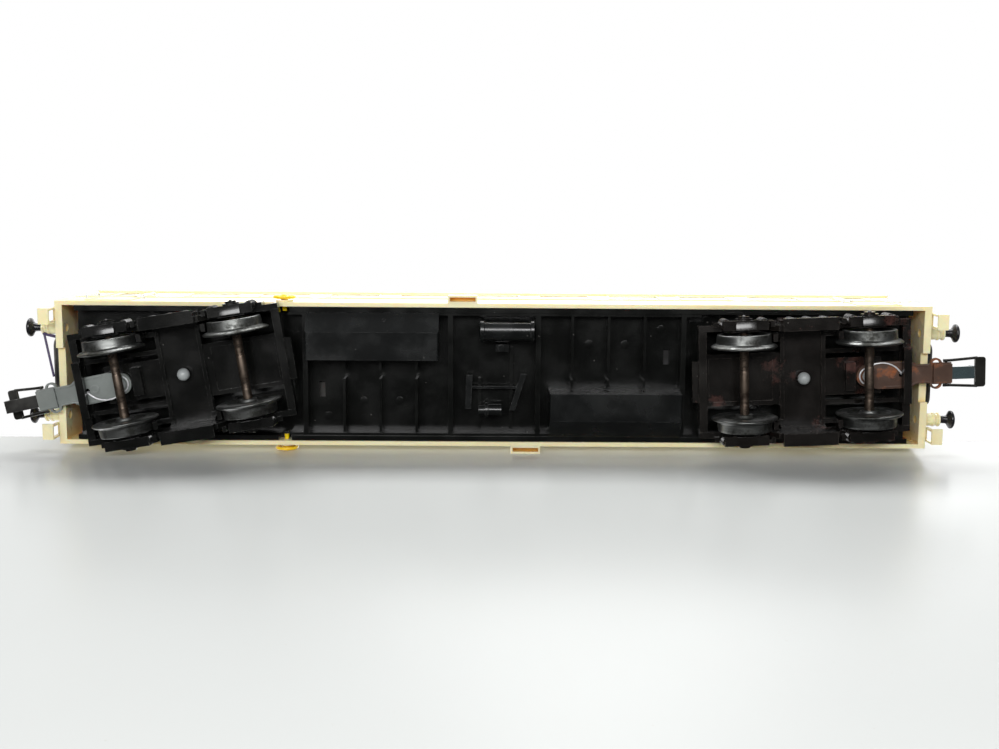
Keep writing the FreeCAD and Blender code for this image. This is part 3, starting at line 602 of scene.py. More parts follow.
@dataclass(frozen=True)
class TurnedMetal:
    """Metal with lathe rings that follow the piece's own UV map, and dull patches."""
    colour: Colour
    dull: Colour
    roughness: float = 0.3
    metallic: float = 1.0
    rings: float = 220.0
    cover: float = 0.55

    def material(self, name: str) -> bpy.types.Material:
        """Build the finish.

        Args:
            name: Name of the material.
        Returns:
            The material.
        """
        made, graph, shader = new_material(name)
        spots = graph.node("TexCoord", {})
        rings = place_group(graph, "lathe_rings", {"Vector": spots.outputs["UV"],
                                                   "Rings": self.rings})
        grime = place_group(graph, "weathering", {"Vector": spots.outputs["Object"],
                                                  "Scale": 260.0, "Cover": self.cover})
        dust = place_group(graph, "dust", {"Vector": spots.outputs["Object"], "Film": 0.06,
                                           "Specks": 0.3})
        lighter = tuple(min(1.0, 1.35 * part) for part in self.colour)
        colour = graph.blend(rings.outputs["Shade"], rgba(self.colour), rgba(lighter))
        colour = graph.blend(grime.outputs["Mask"], colour, rgba(self.dull))
        colour = graph.blend(dust.outputs["Mask"], colour, rgba((0.4, 0.38, 0.35)))
        rough = graph.remap(rings.outputs["Shade"], 0.0, 1.0, self.roughness * 0.8,
                            self.roughness * 1.3)
        rough = graph.math("ADD", rough, graph.math("MULTIPLY", grime.outputs["Mask"], 0.2), True)
        normal = graph.bump(rings.outputs["Height"], 0.35)
        graph.feed(shader, {"Base Color": colour, "Roughness": rough, "Normal": normal,
                            "Metallic": self.metallic})
        return made


@dataclass(frozen=True)
class ClearPane:
    """Clear window pane with a faint waviness and dust."""
    colour: Colour = (0.93, 0.96, 0.97)

    def material(self, name: str) -> bpy.types.Material:
        """Build the finish.

        Args:
            name: Name of the material.
        Returns:
            The material.
        """
        made, graph, shader = new_material(name)
        where = graph.node("TexCoord", {}).outputs["Object"]
        grain = place_group(graph, "moulded_grain", {"Vector": where, "Fine": 0.05})
        dust = place_group(graph, "dust", {"Vector": where, "Film": 0.12, "Specks": 0.6})
        rough = graph.remap(dust.outputs["Mask"], 0.0, 1.0, 0.05, 0.5)
        normal = graph.bump(grain.outputs["Height"], 0.2)
        tint = graph.blend(dust.outputs["Mask"], rgba(self.colour), rgba((0.75, 0.74, 0.7)))
        graph.feed(shader, {"Base Color": tint, "Roughness": rough, "Normal": normal,
                            "Transmission Weight": 1.0, "IOR": 1.5})
        return made


BLACK_DUST = (0.22, 0.21, 0.19)
FINISHES = {
    # The cream plastic carries painted amber shade in its hollows.
    "cream_plastic": Moulding((0.88, 0.8, 0.52), (0.84, 0.73, 0.43), 0.3, grain=0.25, wear=0.25,
                              wear_colour=(0.95, 0.92, 0.82), dust=0.06, painted_shade=1.1,
                              painted_shade_colour=(0.85, 0.54, 0.08), subsurface=0.3, coat=0.15),
    "roof_grey": Moulding((0.3, 0.31, 0.32), (0.25, 0.26, 0.27), 0.55, fine=0.9, wear=0.5,
                          wear_colour=(0.5, 0.5, 0.5), dust=0.35),
    "glazing": ClearPane(),
    "gangway_rubber": Moulding((0.022, 0.022, 0.024), (0.035, 0.034, 0.034), 0.62, fine=0.8,
                               wear=0.5, wear_colour=(0.12, 0.12, 0.12), dust=0.3),
    "pivot_grey": Moulding((0.36, 0.38, 0.38), (0.28, 0.3, 0.3), 0.3, wear=0.3,
                           wear_colour=(0.7, 0.7, 0.7), dust=0.1),
    "floor_black": Moulding((0.0022, 0.0025, 0.0022), (0.004, 0.0045, 0.004), 0.2, grain=0.2,
                            fine=0.15, wear=0.25, wear_colour=(0.05, 0.05, 0.045), dust=0.015,
                            specks=0.2, dust_colour=BLACK_DUST, coat=0.2),
    "box_black": Moulding((0.004, 0.0045, 0.0045), (0.007, 0.008, 0.008), 0.24, grain=0.2,
                          fine=0.15, wear=0.5, wear_colour=(0.1, 0.1, 0.1), dust=0.015,
                          specks=0.25, dust_colour=BLACK_DUST, coat=0.15),
    # The yellow handwheels carry painted dark orange shade in their hollows.
    "wheel_yellow": Moulding((0.95, 0.66, 0.01), (0.9, 0.56, 0.005), 0.25, wear=0.3,
                             wear_colour=(1.0, 0.8, 0.25), dust=0.05, painted_shade=0.8,
                             painted_shade_colour=(0.8, 0.25, 0.005), subsurface=0.35, coat=0.3),
    "hose_purple": Moulding((0.05, 0.035, 0.1), (0.07, 0.05, 0.12), 0.4, dust=0.1),
    "interior_brown": Moulding((0.3, 0.14, 0.065), (0.24, 0.11, 0.05), 0.55, fine=0.8),
    "ballast_steel": Moulding((0.05, 0.05, 0.052), (0.03, 0.029, 0.028), 0.5, 1.0,
                              patches=0.45),
    "buffer_black": Moulding((0.008, 0.008, 0.01), (0.014, 0.014, 0.016), 0.3, wear=0.6,
                             wear_colour=(0.3, 0.3, 0.3), dust=0.06, specks=0.2,
                             dust_colour=BLACK_DUST),
    "bogie_black": Moulding((0.003, 0.0033, 0.003), (0.006, 0.006, 0.0055), 0.2, grain=0.35,
                            fine=0.2, wear=0.5, wear_colour=(0.09, 0.09, 0.085), dust=0.03,
                            specks=0.22, dust_colour=BLACK_DUST, patches=0.12,
                            patch_colour=(0.05, 0.01, 0.008), coat=0.35),
    "bogie_weathered": Moulding((0.004, 0.0035, 0.003), (0.008, 0.0065, 0.0055), 0.22,
                                grain=0.35, fine=0.2, wear=0.5, wear_colour=(0.1, 0.085, 0.075),
                                dust=0.03, specks=0.22, dust_colour=BLACK_DUST, patches=0.42,
                                patch_colour=(0.075, 0.016, 0.008), patch_scale=110.0,
                                coat=0.35),
    "axle_brown": TurnedMetal((0.13, 0.1, 0.078), (0.04, 0.026, 0.019), 0.34, 0.9, 90.0, 0.6),
    "wheel_steel": TurnedMetal((0.15, 0.155, 0.15), (0.05, 0.051, 0.046), 0.36, 0.95, 240.0,
                               0.7),
    "coupler_grey": Moulding((0.2, 0.22, 0.21), (0.15, 0.165, 0.155), 0.42, wear=0.4,
                             wear_colour=(0.45, 0.46, 0.45), dust=0.15, patches=0.22,
                             patch_colour=(0.06, 0.05, 0.045)),
    "coupler_rusty": Moulding((0.055, 0.028, 0.018), (0.085, 0.04, 0.022), 0.5, grain=0.6,
                              wear=0.5, wear_colour=(0.2, 0.1, 0.06), dust=0.1, patches=0.55,
                              patch_colour=(0.26, 0.075, 0.02), patch_scale=320.0),
    "hook_black": Moulding((0.012, 0.012, 0.012), (0.02, 0.02, 0.02), 0.3, 0.6, wear=0.8,
                           wear_colour=(0.4, 0.4, 0.4), specks=0.1),
    "hook_blue": Moulding((0.12, 0.17, 0.18), (0.08, 0.11, 0.12), 0.32, 0.7, wear=0.8,
                          wear_colour=(0.4, 0.42, 0.42), specks=0.1, patches=0.35,
                          patch_colour=(0.09, 0.04, 0.02), patch_scale=500.0),
    "loop_dark": Moulding((0.018, 0.018, 0.016), (0.03, 0.03, 0.027), 0.32, 0.6, wear=0.9,
                          wear_colour=(0.4, 0.39, 0.37), specks=0.1),
    "spring_wire": Moulding((0.85, 0.85, 0.87), (0.7, 0.7, 0.72), 0.28, 0.35, wear=0.0,
                            specks=0.05),
}
MATERIALS: dict[str, bpy.types.Material] = {}


def make_materials() -> None:
    """Build the shared effects and one material for each slot, and dress the CAD nodes."""
    for build in (make_grain, make_edge_wear, make_dust, make_weathering, make_lathe_rings):
        build()
    for slot, finish in FINISHES.items():
        MATERIALS[slot] = finish.material(slot + "_finish")
    for part in frame["record"]["subparts"]:
        node = frame["nodes"].get(part["node"])
        if node is not None:
            for holder in node.material_slots:
                holder.material = MATERIALS[part["material_slot"]]


def dress(piece: bpy.types.Object, slot: str, body: str, replaced: tuple[str, ...] = ()) -> None:
    """Give a piece its finish, its body and the nodes that it stands for.

    Args:
        piece: The piece.
        slot: Material slot of the record.
        body: Body that it moves with.
        replaced: CAD nodes that it stands for.
    """
    piece.data.materials.append(MATERIALS[slot])
    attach(piece, body)
    if replaced:
        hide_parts(*replaced)
    LOG.info("piece %s rides %s with %d faces", piece.name, body, len(piece.data.polygons))


def joint_point(name: str) -> Array:
    """Place of a joint in the coach's frame."""
    return np.array(JOINTS[name]["pos_m"], float)


def node_points(node: str) -> Array:
    """Vertices of a CAD node.

    Args:
        node: Name of the node.
    Returns:
        Rows of x, y and z.
    """
    vertices = frame["nodes"][node].data.vertices
    points = np.empty(len(vertices) * 3, np.float32)
    vertices.foreach_get("co", points)
    return points.reshape(-1, 3)


def node_box(node: str) -> tuple[Array, Array]:
    """Middle and half size of a CAD node's box."""
    low, high = (np.array(corner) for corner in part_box(node))
    return (low + high) / 2, (high - low) / 2


def level_place(origin: Array, ahead: Array) -> Place:
    """Upright frame at a point whose ahead axis is a level direction of any length."""
    ahead = ahead / np.linalg.norm(ahead)
    return Place(origin, ahead, np.cross(UP, ahead), UP)


def bogie_place(end: End) -> Place:
    """Frame of a bogie.

    Args:
        end: End of the coach.
    Returns:
        Frame under the pivot at rail height, ahead to the outer wheelset.
    """
    outer, inner = (joint_point(f"wheelset_{end.name}_{spot}_spin") for spot in ("outer", "inner"))
    return level_place(joint_point(f"bogie_{end.name}_swivel") * [1, 1, 0], outer - inner)


def coupler_place(end: End) -> Place:
    """Frame of a coupler.

    Args:
        end: End of the coach.
    Returns:
        Frame at the swing pivot, ahead to the loop's pivot.
    """
    swing = joint_point(f"coupler_{end.name}_swing")
    lift = joint_point(f"coupler_loop_{end.name}_lift")
    return level_place(swing, (lift - swing) * [1, 1, 0])


# ---- sub-assemblies ----
@dataclass(frozen=True)
class Wheelset:
    """A turned axle with two flanged wheels."""
    end: End
    spot: str
    back: float = 7.15 * MM
    width: float = 2.95 * MM
    tread: float = 5.5 * MM
    flange: float = 6.8 * MM
    axle: float = 0.95 * MM
    tip: float = 12.25 * MM

    def place(self) -> Place:
        """Frame of the wheelset.

        Returns:
            Frame at the axle's middle, ahead along the axle.
        """
        bogie = bogie_place(self.end)
        centre = joint_point(f"wheelset_{self.end.name}_{self.spot}_spin")
        return Place(centre, bogie.side, -bogie.ahead, bogie.up)

    def wheel(self, side: Side) -> Patch:
        """Wheel: hub, dished back, flange, tread and dished face, turned as one ring.

        Args:
            side: Side of the bogie that the wheel is on.
        Returns:
            The patch.
        """
        face = self.back + self.width
        rows = [(self.back - 0.45 * MM, self.axle), (self.back - 0.45 * MM, 1.75 * MM),
                (self.back + 0.1 * MM, 1.95 * MM), (self.back + 0.3 * MM, 2.2 * MM),
                (self.back + 0.3 * MM, 4.1 * MM), (self.back, 4.4 * MM),
                (self.back, self.flange - 0.35 * MM), (self.back + 0.22 * MM, self.flange),
                (self.back + 0.44 * MM, self.flange),
                (self.back + 0.78 * MM, self.flange - 0.5 * MM),
                (self.back + 0.98 * MM, self.tread + 0.12 * MM),
                (face - 0.12 * MM, self.tread), (face, self.tread - 0.14 * MM),
                (face, self.tread - 0.9 * MM), (face - 0.5 * MM, self.tread - 1.15 * MM),
                (face - 0.75 * MM, 2.1 * MM), (face - 0.25 * MM, 1.8 * MM),
                (face - 0.2 * MM, self.axle), (self.back, self.axle),
                (self.back - 0.45 * MM, self.axle)]
        profile = soften(np.array(rows), 0.16 * MM, 3)
        profile[:, 0] *= side.value
        return turned(profile, self.place(), 72)

    def shaft(self) -> Patch:
        """Axle: a plain shank that necks down at the wheels and runs out to two points.

        Returns:
            The patch.
        """
        face = self.back + self.width
        neck = self.axle * 0.93
        far = np.array([(2.2 * MM, self.axle), (2.3 * MM, neck), (4.6 * MM, neck),
                        (4.7 * MM, self.axle), (face - 0.15 * MM, self.axle),
                        (face, 0.75 * MM), (self.tip, 0.1 * MM), (self.tip, 0.0)])
        near = far[::-1] * [-1, 1]
        return turned(soften(np.vstack([near, far]), 0.08 * MM, 2), self.place(), 40)

    def build(self) -> None:
        """Make both wheels and the axle."""
        body = f"wheelset_{self.end.name}_{self.spot}"
        for side in Side:
            name = f"wheel_{self.end.name}_{self.spot}_{side.name}"
            dress(make_piece(name, [self.wheel(side)], 30), "wheel_steel", body,
                  (f"wheels_{self.end.name}_{self.spot}",))
        name = f"axle_shaft_{self.end.name}_{self.spot}"
        dress(make_piece(name, [self.shaft()], 30), "axle_brown", body,
              (f"axle_{self.end.name}_{self.spot}",))


@dataclass(frozen=True)
class BogieDetail:
    """Coil springs, rivets, bolts and keeper plates on a bogie's two side frames."""
    end: End
    half_base: float = 12.95 * MM
    spring_y: float = 12.2 * MM
    nest_y: float = 12.0 * MM
    rail_face: float = 12.4 * MM
    box_face: float = 12.5 * MM
    keeper: Point = (4.3 * MM, 1.9 * MM, 0.5 * MM)
    keeper_y: float = 11.85 * MM
    keeper_z: float = 4.5 * MM
    keeper_tilt: float = math.radians(14.0)

    def springs(self, side: Side) -> list[Patch]:
        """Axle-box and bolster springs: helices round the frame's spring cores.

        Args:
            side: Side of the bogie.
        Returns:
            One patch for each spring.
        """
        place, made = bogie_place(self.end), []
        for wheel in (-self.half_base, self.half_base):
            for offset in (-3.9 * MM, 3.9 * MM):
                foot = place.at(wheel + offset, side.value * self.spring_y, 5.4 * MM)
                made.append(coil(foot, 0.88 * MM, 0.2 * MM, 3.9 * MM, 5.0))
        for offset in (-3.4 * MM, 0.0, 3.4 * MM):
            foot = place.at(offset, side.value * self.nest_y, 4.3 * MM)
            made.append(coil(foot, 0.98 * MM, 0.22 * MM, 4.0 * MM, 5.0))
        return made

    def rivets(self, side: Side) -> list[Patch]:
        """Rivet heads along the top rail and bolts at the corners of each axle box.

        Args:
            side: Side of the bogie.
        Returns:
            One patch for each head.
        """
        outward = bogie_place(self.end).turned_to("y" if side.value > 0 else "-y", "x")
        place, made = bogie_place(self.end), []

        def head(x: float, y: float, z: float, radius: float) -> None:
            """Add one head that stands out from the side frame.

            Args:
                x: Distance along the bogie from its pivot.
                y: Distance of the face from the middle plane.
                z: Height above the rails.
                radius: Radius of the head.
            """
            spot = place.at(x, side.value * y, z)
            faced = Place(spot.origin, outward.ahead, outward.side, outward.up)
            made.append(dome(faced, radius, 0.6 * radius))

        for x in np.linspace(-17.6, 17.6, 15) * MM:
            head(x, self.rail_face, 10.05 * MM, 0.22 * MM)
        for wheel in (-self.half_base, self.half_base):
            for x in (-2.15 * MM, 2.15 * MM):
                for z in (5.7 * MM, 9.2 * MM):
                    head(wheel + x, self.box_face, z, 0.3 * MM)
            head(wheel, 13.7 * MM, 6.8 * MM, 0.4 * MM)
        return made

    def keepers(self, side: Side) -> list[Patch]:
        """Keeper plates under the axle boxes: rounded plates whose outer edge is tilted up.

        Args:
            side: Side of the bogie.
        Returns:
            One patch for each axle box.
        """
        place, made = bogie_place(self.end), []
        outward = side.value * place.side
        across = math.cos(self.keeper_tilt) * outward + math.sin(self.keeper_tilt) * place.up
        for wheel in (-self.half_base, self.half_base):
            middle = place.at(wheel, side.value * self.keeper_y, self.keeper_z).origin
            tilted = Place(middle, place.ahead, across, np.cross(place.ahead, across))
            made.append(rounded_box(self.keeper, 0.12 * MM, tilted))
        return made

    def build(self) -> None:
        """Make the springs, the rivets and the keeper plates of both sides."""
        slot = "bogie_black" if self.end is End.left else "bogie_weathered"
        for side in Side:
            for name, shape in (("bogie_springs", self.springs), ("bogie_rivets", self.rivets),
                                ("box_keepers", self.keepers)):
                piece = make_piece(f"{name}_{self.end.name}_{side.name}", shape(side))
                dress(piece, slot, f"bogie_{self.end.name}")


@dataclass(frozen=True)
class BufferSet:
    """The four sprung buffers: mushroom heads on shanks in flanged sleeves."""
    across: float = 9.25 * MM
    height: float = 13.5 * MM
    face: float = 98.25 * MM
    head: float = 1.95 * MM
    sleeve_end: float = 95.0 * MM
    wall: float = 91.5 * MM

    def place(self, end: End, side: Side) -> Place:
        """Frame on the buffer's line in the coach's middle plane, ahead outwards."""
        origin = np.array([0.0, side.value * self.across, self.height])
        return level_place(origin, np.array([float(end.value), 0, 0]))

    def plunger(self, place: Place) -> Patch:
        """Head with a crowned face, a bevelled back and a stepped shank.

        Args:
            place: The buffer's frame.
        Returns:
            The patch.
        """
        rows = [(90.95 * MM, 0.0), (90.95 * MM, 0.8 * MM), (95.5 * MM, 0.8 * MM),
                (96.6 * MM, 0.85 * MM), (97.0 * MM, 1.4 * MM), (97.3 * MM, self.head),
                (97.75 * MM, self.head), (self.face - 0.25 * MM, 1.6 * MM),
                (self.face - 0.05 * MM, 0.8 * MM), (self.face, 0.0)]
        return turned(soften(np.array(rows), 0.3 * MM, 4), place, 40)

    def sleeve(self, place: Place) -> list[Patch]:
        """Sleeve: round base flange, two collars and a bored mouth, with four bolt heads.

        Args:
            place: The buffer's frame.
        Returns:
            The sleeve's patch and one for each bolt head.
        """
        wall, mouth = self.wall, self.sleeve_end
        rows = [(wall, 0.95 * MM), (wall, 1.75 * MM), (wall + 0.35 * MM, 1.75 * MM),
                (wall + 0.45 * MM, 1.4 * MM), (wall + 1.9 * MM, 1.35 * MM),
                (wall + 2.0 * MM, 1.5 * MM), (wall + 2.4 * MM, 1.5 * MM),
                (wall + 2.5 * MM, 1.3 * MM), (mouth - 0.45 * MM, 1.3 * MM),
                (mouth - 0.4 * MM, 1.5 * MM), (mouth, 1.5 * MM), (mouth, 0.95 * MM),
                (wall, 0.95 * MM)]
        made = [turned(soften(np.array(rows), 0.08 * MM, 2), place, 40)]
        for turn in np.arange(4) * (math.pi / 2) + math.pi / 4:
            bolt = place.at(wall + 0.35 * MM, 1.55 * MM * math.cos(turn),
                            1.55 * MM * math.sin(turn))
            made.append(dome(bolt, 0.17 * MM, 0.14 * MM))
        return made

    def build(self) -> None:
        """Make four plungers and one piece with the four sleeves."""
        sleeves = []
        for end in End:
            for side in Side:
                place = self.place(end, side)
                name = f"buffer_{end.name}_{side.name}"
                dress(make_piece(f"buffer_head_{end.name}_{side.name}", [self.plunger(place)]),
                      "buffer_black", name, (name,))
                sleeves += self.sleeve(place)
        dress(make_piece("buffer_casings", sleeves), "cream_plastic", "coach_body",
              ("buffer_sleeves",))


@dataclass(frozen=True)
class Handwheel:
    """Handbrake wheel on the body side: round rim, four bent spokes and a domed hub."""
    side: Side
    rim: float = 2.08 * MM
    bar: float = 0.34 * MM
    spoke: float = 0.24 * MM
    stand: float = 0.95 * MM
    wall: float = 15.1 * MM

    def place(self) -> Place:
        """Frame of the handwheel.

        Returns:
            Frame on the wall at the wheel's middle, ahead outwards.
        """
        out = np.array([0.0, float(self.side.value), 0.0])
        middle = node_box(f"handwheel_{self.side.name}")[0]
        middle[1] = self.side.value * self.wall
        return Place(middle, out, np.array([1.0, 0, 0]), np.cross(out, [1.0, 0, 0]))

    def ring(self, place: Place) -> Patch:
        """Rim: a round bar carried round a circle that stands off the wall.

        Args:
            place: The handwheel's frame.
        Returns:
            The patch.
        """
        turn = np.linspace(0, 2 * math.pi, 64, endpoint=False)
        path = np.stack([np.full_like(turn, self.stand), self.rim * np.cos(turn),
                         self.rim * np.sin(turn)], axis=-1)
        return swept(circle(self.bar, 12), place.put(path), place.ahead, True)

    def hub(self, place: Place) -> Patch:
        """Hub: a stub through the wall, a collar and a domed nut.

        Args:
            place: The handwheel's frame.
        Returns:
            The patch.
        """
        rows = np.array([(-2.0, 0), (-2.0, 0.48), (0.37, 0.48), (0.37, 0.8), (1.2, 0.8),
                         (1.5, 0.45), (1.58, 0)]) * MM
        return turned(soften(rows, 0.12 * MM, 3), place, 32)

    def arm(self, place: Place, turn: float) -> Patch:
        """Spoke: a thinner bar that dips from the hub to the rim.

        Args:
            place: The handwheel's frame.
            turn: Angle of the spoke.
        Returns:
            The patch.
        """
        reach = np.array([0.5, 0.9, 1.4, 1.9, 2.1]) * MM
        lift = np.array([1.15, 1.15, 0.98, 0.9, 0.95]) * MM
        bar = np.stack([lift, reach * math.cos(turn), reach * math.sin(turn)], axis=-1)
        return swept(circle(self.spoke, 8), place.put(soften(bar, 0.3 * MM)), place.ahead)

    def build(self) -> None:
        """Make the wheel at its node's place."""
        place = self.place()
        patches = [self.ring(place), self.hub(place)]
        patches += [self.arm(place, (step + 0.5) * math.pi / 2) for step in range(4)]
        dress(make_piece(f"handbrake_wheel_{self.side.name}", patches), "wheel_yellow",
              "coach_body", (f"handwheel_{self.side.name}",))


@dataclass(frozen=True)
class CouplerDetail:
    """Stiffening lips along the shank's sides and a raised ring round its hole."""
    end: End

    def build(self) -> None:
        """Make the lips, which follow the shank's sides, and the ring."""
        place = coupler_place(self.end)
        patches = []
        for side in Side:
            route = np.array([(3.4, 2.5, -0.42), (8.6, 2.5, -0.42), (10.2, 1.75, -0.42),
                              (12.8, 1.75, -0.42)]) * MM * [1, side.value, 1]
            strip = round_rectangle(0.22 * MM, 0.16 * MM, 0.1 * MM, 2)
            patches.append(swept(strip, place.put(soften(route, 0.5 * MM)), place.up))
        centre = place.at(5.4 * MM, 0, -0.42 * MM).turned_to("-z", "x")
        rows = np.array([(0, 0.5), (0.14, 0.5), (0.14, 0.95), (0, 0.95), (0, 0.5)]) * MM
        patches.append(turned(soften(rows, 0.04 * MM, 2), centre, 28))
        piece = make_piece(f"coupler_lips_{self.end.name}", patches)
        slot = "coupler_grey" if self.end is End.left else "coupler_rusty"
        dress(piece, slot, f"coupler_{self.end.name}")


@dataclass(frozen=True)
class CouplerLoop:
    """Swinging loop: two rounded arms that spread towards a broad cross bar."""
    end: End
    bar: float = 7.15 * MM
    bar_start: float = 6.5 * MM
    bar_half: float = 0.26 * MM
    arm_start: float = 2.62 * MM
    arm_end: float = 2.98 * MM

    def place(self) -> Place:
        """Frame at the loop's pivot, found from the node's points on the cross bar.

        Returns:
            Frame whose ahead axis runs to the cross bar and whose side axis is the hinge.
        """
        pivot = joint_point(f"coupler_loop_{self.end.name}_lift")
        arrows = node_points(f"coupler_loop_{self.end.name}") - pivot
        ahead = arrows[np.linalg.norm(arrows, axis=1) > self.bar_start].mean(axis=0)
        side = -np.array(JOINTS[f"coupler_loop_{self.end.name}_lift"]["axis"], float)
        ahead = ahead - side * (ahead @ side)
        ahead = ahead / np.linalg.norm(ahead)
        return Place(pivot, ahead, side, np.cross(ahead, side))

    def build(self) -> None:
        """Make the arms, the pivot stubs and the cross bar."""
        place, patches = self.place(), []
        section = round_rectangle(0.29 * MM, 0.24 * MM, 0.2 * MM, 3)
        for side in Side:
            route = np.array([(-0.55 * MM, self.arm_start, 0), (0.9 * MM, self.arm_start, 0),
                              (self.bar - 0.6 * MM, self.arm_end, 0)]) * [1, side.value, 1]
            patches.append(swept(section, place.put(soften(route, 0.8 * MM)), place.up))
            stub = np.array([(0, 1.15 * MM, 0), (0, 1.8 * MM, 0), (0, 2.6 * MM, 0)])
            stub = stub * [1, side.value, 1]
            patches.append(swept(circle(0.3 * MM, 16), place.put(stub), place.up))
        plate = round_rectangle(3.15 * MM, 1.1 * MM, 0.6 * MM, 6)
        rise = np.array([(self.bar, 0, step * self.bar_half) for step in (-1, 0, 1)])
        patches.append(swept(plate, place.put(rise), place.ahead))
        name = f"coupler_loop_{self.end.name}"
        dress(make_piece(f"loop_bail_{self.end.name}", patches), "loop_dark",
              f"loop_{self.end.name}", (name,))


@dataclass(frozen=True)
class CentringWire:
    """Bright wire that hooks into the shank's hole and bends round the coupler's pin."""
    end: End
    wire: float = 0.17 * MM
    bend: float = 1.75 * MM
    level: float = -0.62 * MM

    def build(self) -> None:
        """Carry a round section along an arc about the pin and a curve to the hole."""
        turn = np.radians(np.linspace(120, 255, 12))
        arc = np.stack([self.bend * np.cos(turn), self.bend * np.sin(turn)], axis=-1)
        curve = np.array([(1.4, -2.55), (3.4, -2.75), (5.5, -2.0), (6.9, -0.5)]) * MM
        flat = soften(np.vstack([arc, curve]), 0.9 * MM)
        route = np.column_stack([flat, np.full(len(flat), self.level)])
        hook = np.array([[7.0 * MM, -0.25 * MM, self.level + 0.2 * MM],
                         [7.0 * MM, -0.25 * MM, 0.2 * MM]])
        place = coupler_place(self.end)
        path = place.put(np.vstack([route, hook]))
        tilt = place.up + 0.3 * place.ahead
        piece = make_piece(f"centring_wire_{self.end.name}",
                           [swept(circle(self.wire, 10), path, tilt)])
        dress(piece, "spring_wire", f"coupler_{self.end.name}",
              (f"coupler_spring_{self.end.name}",))


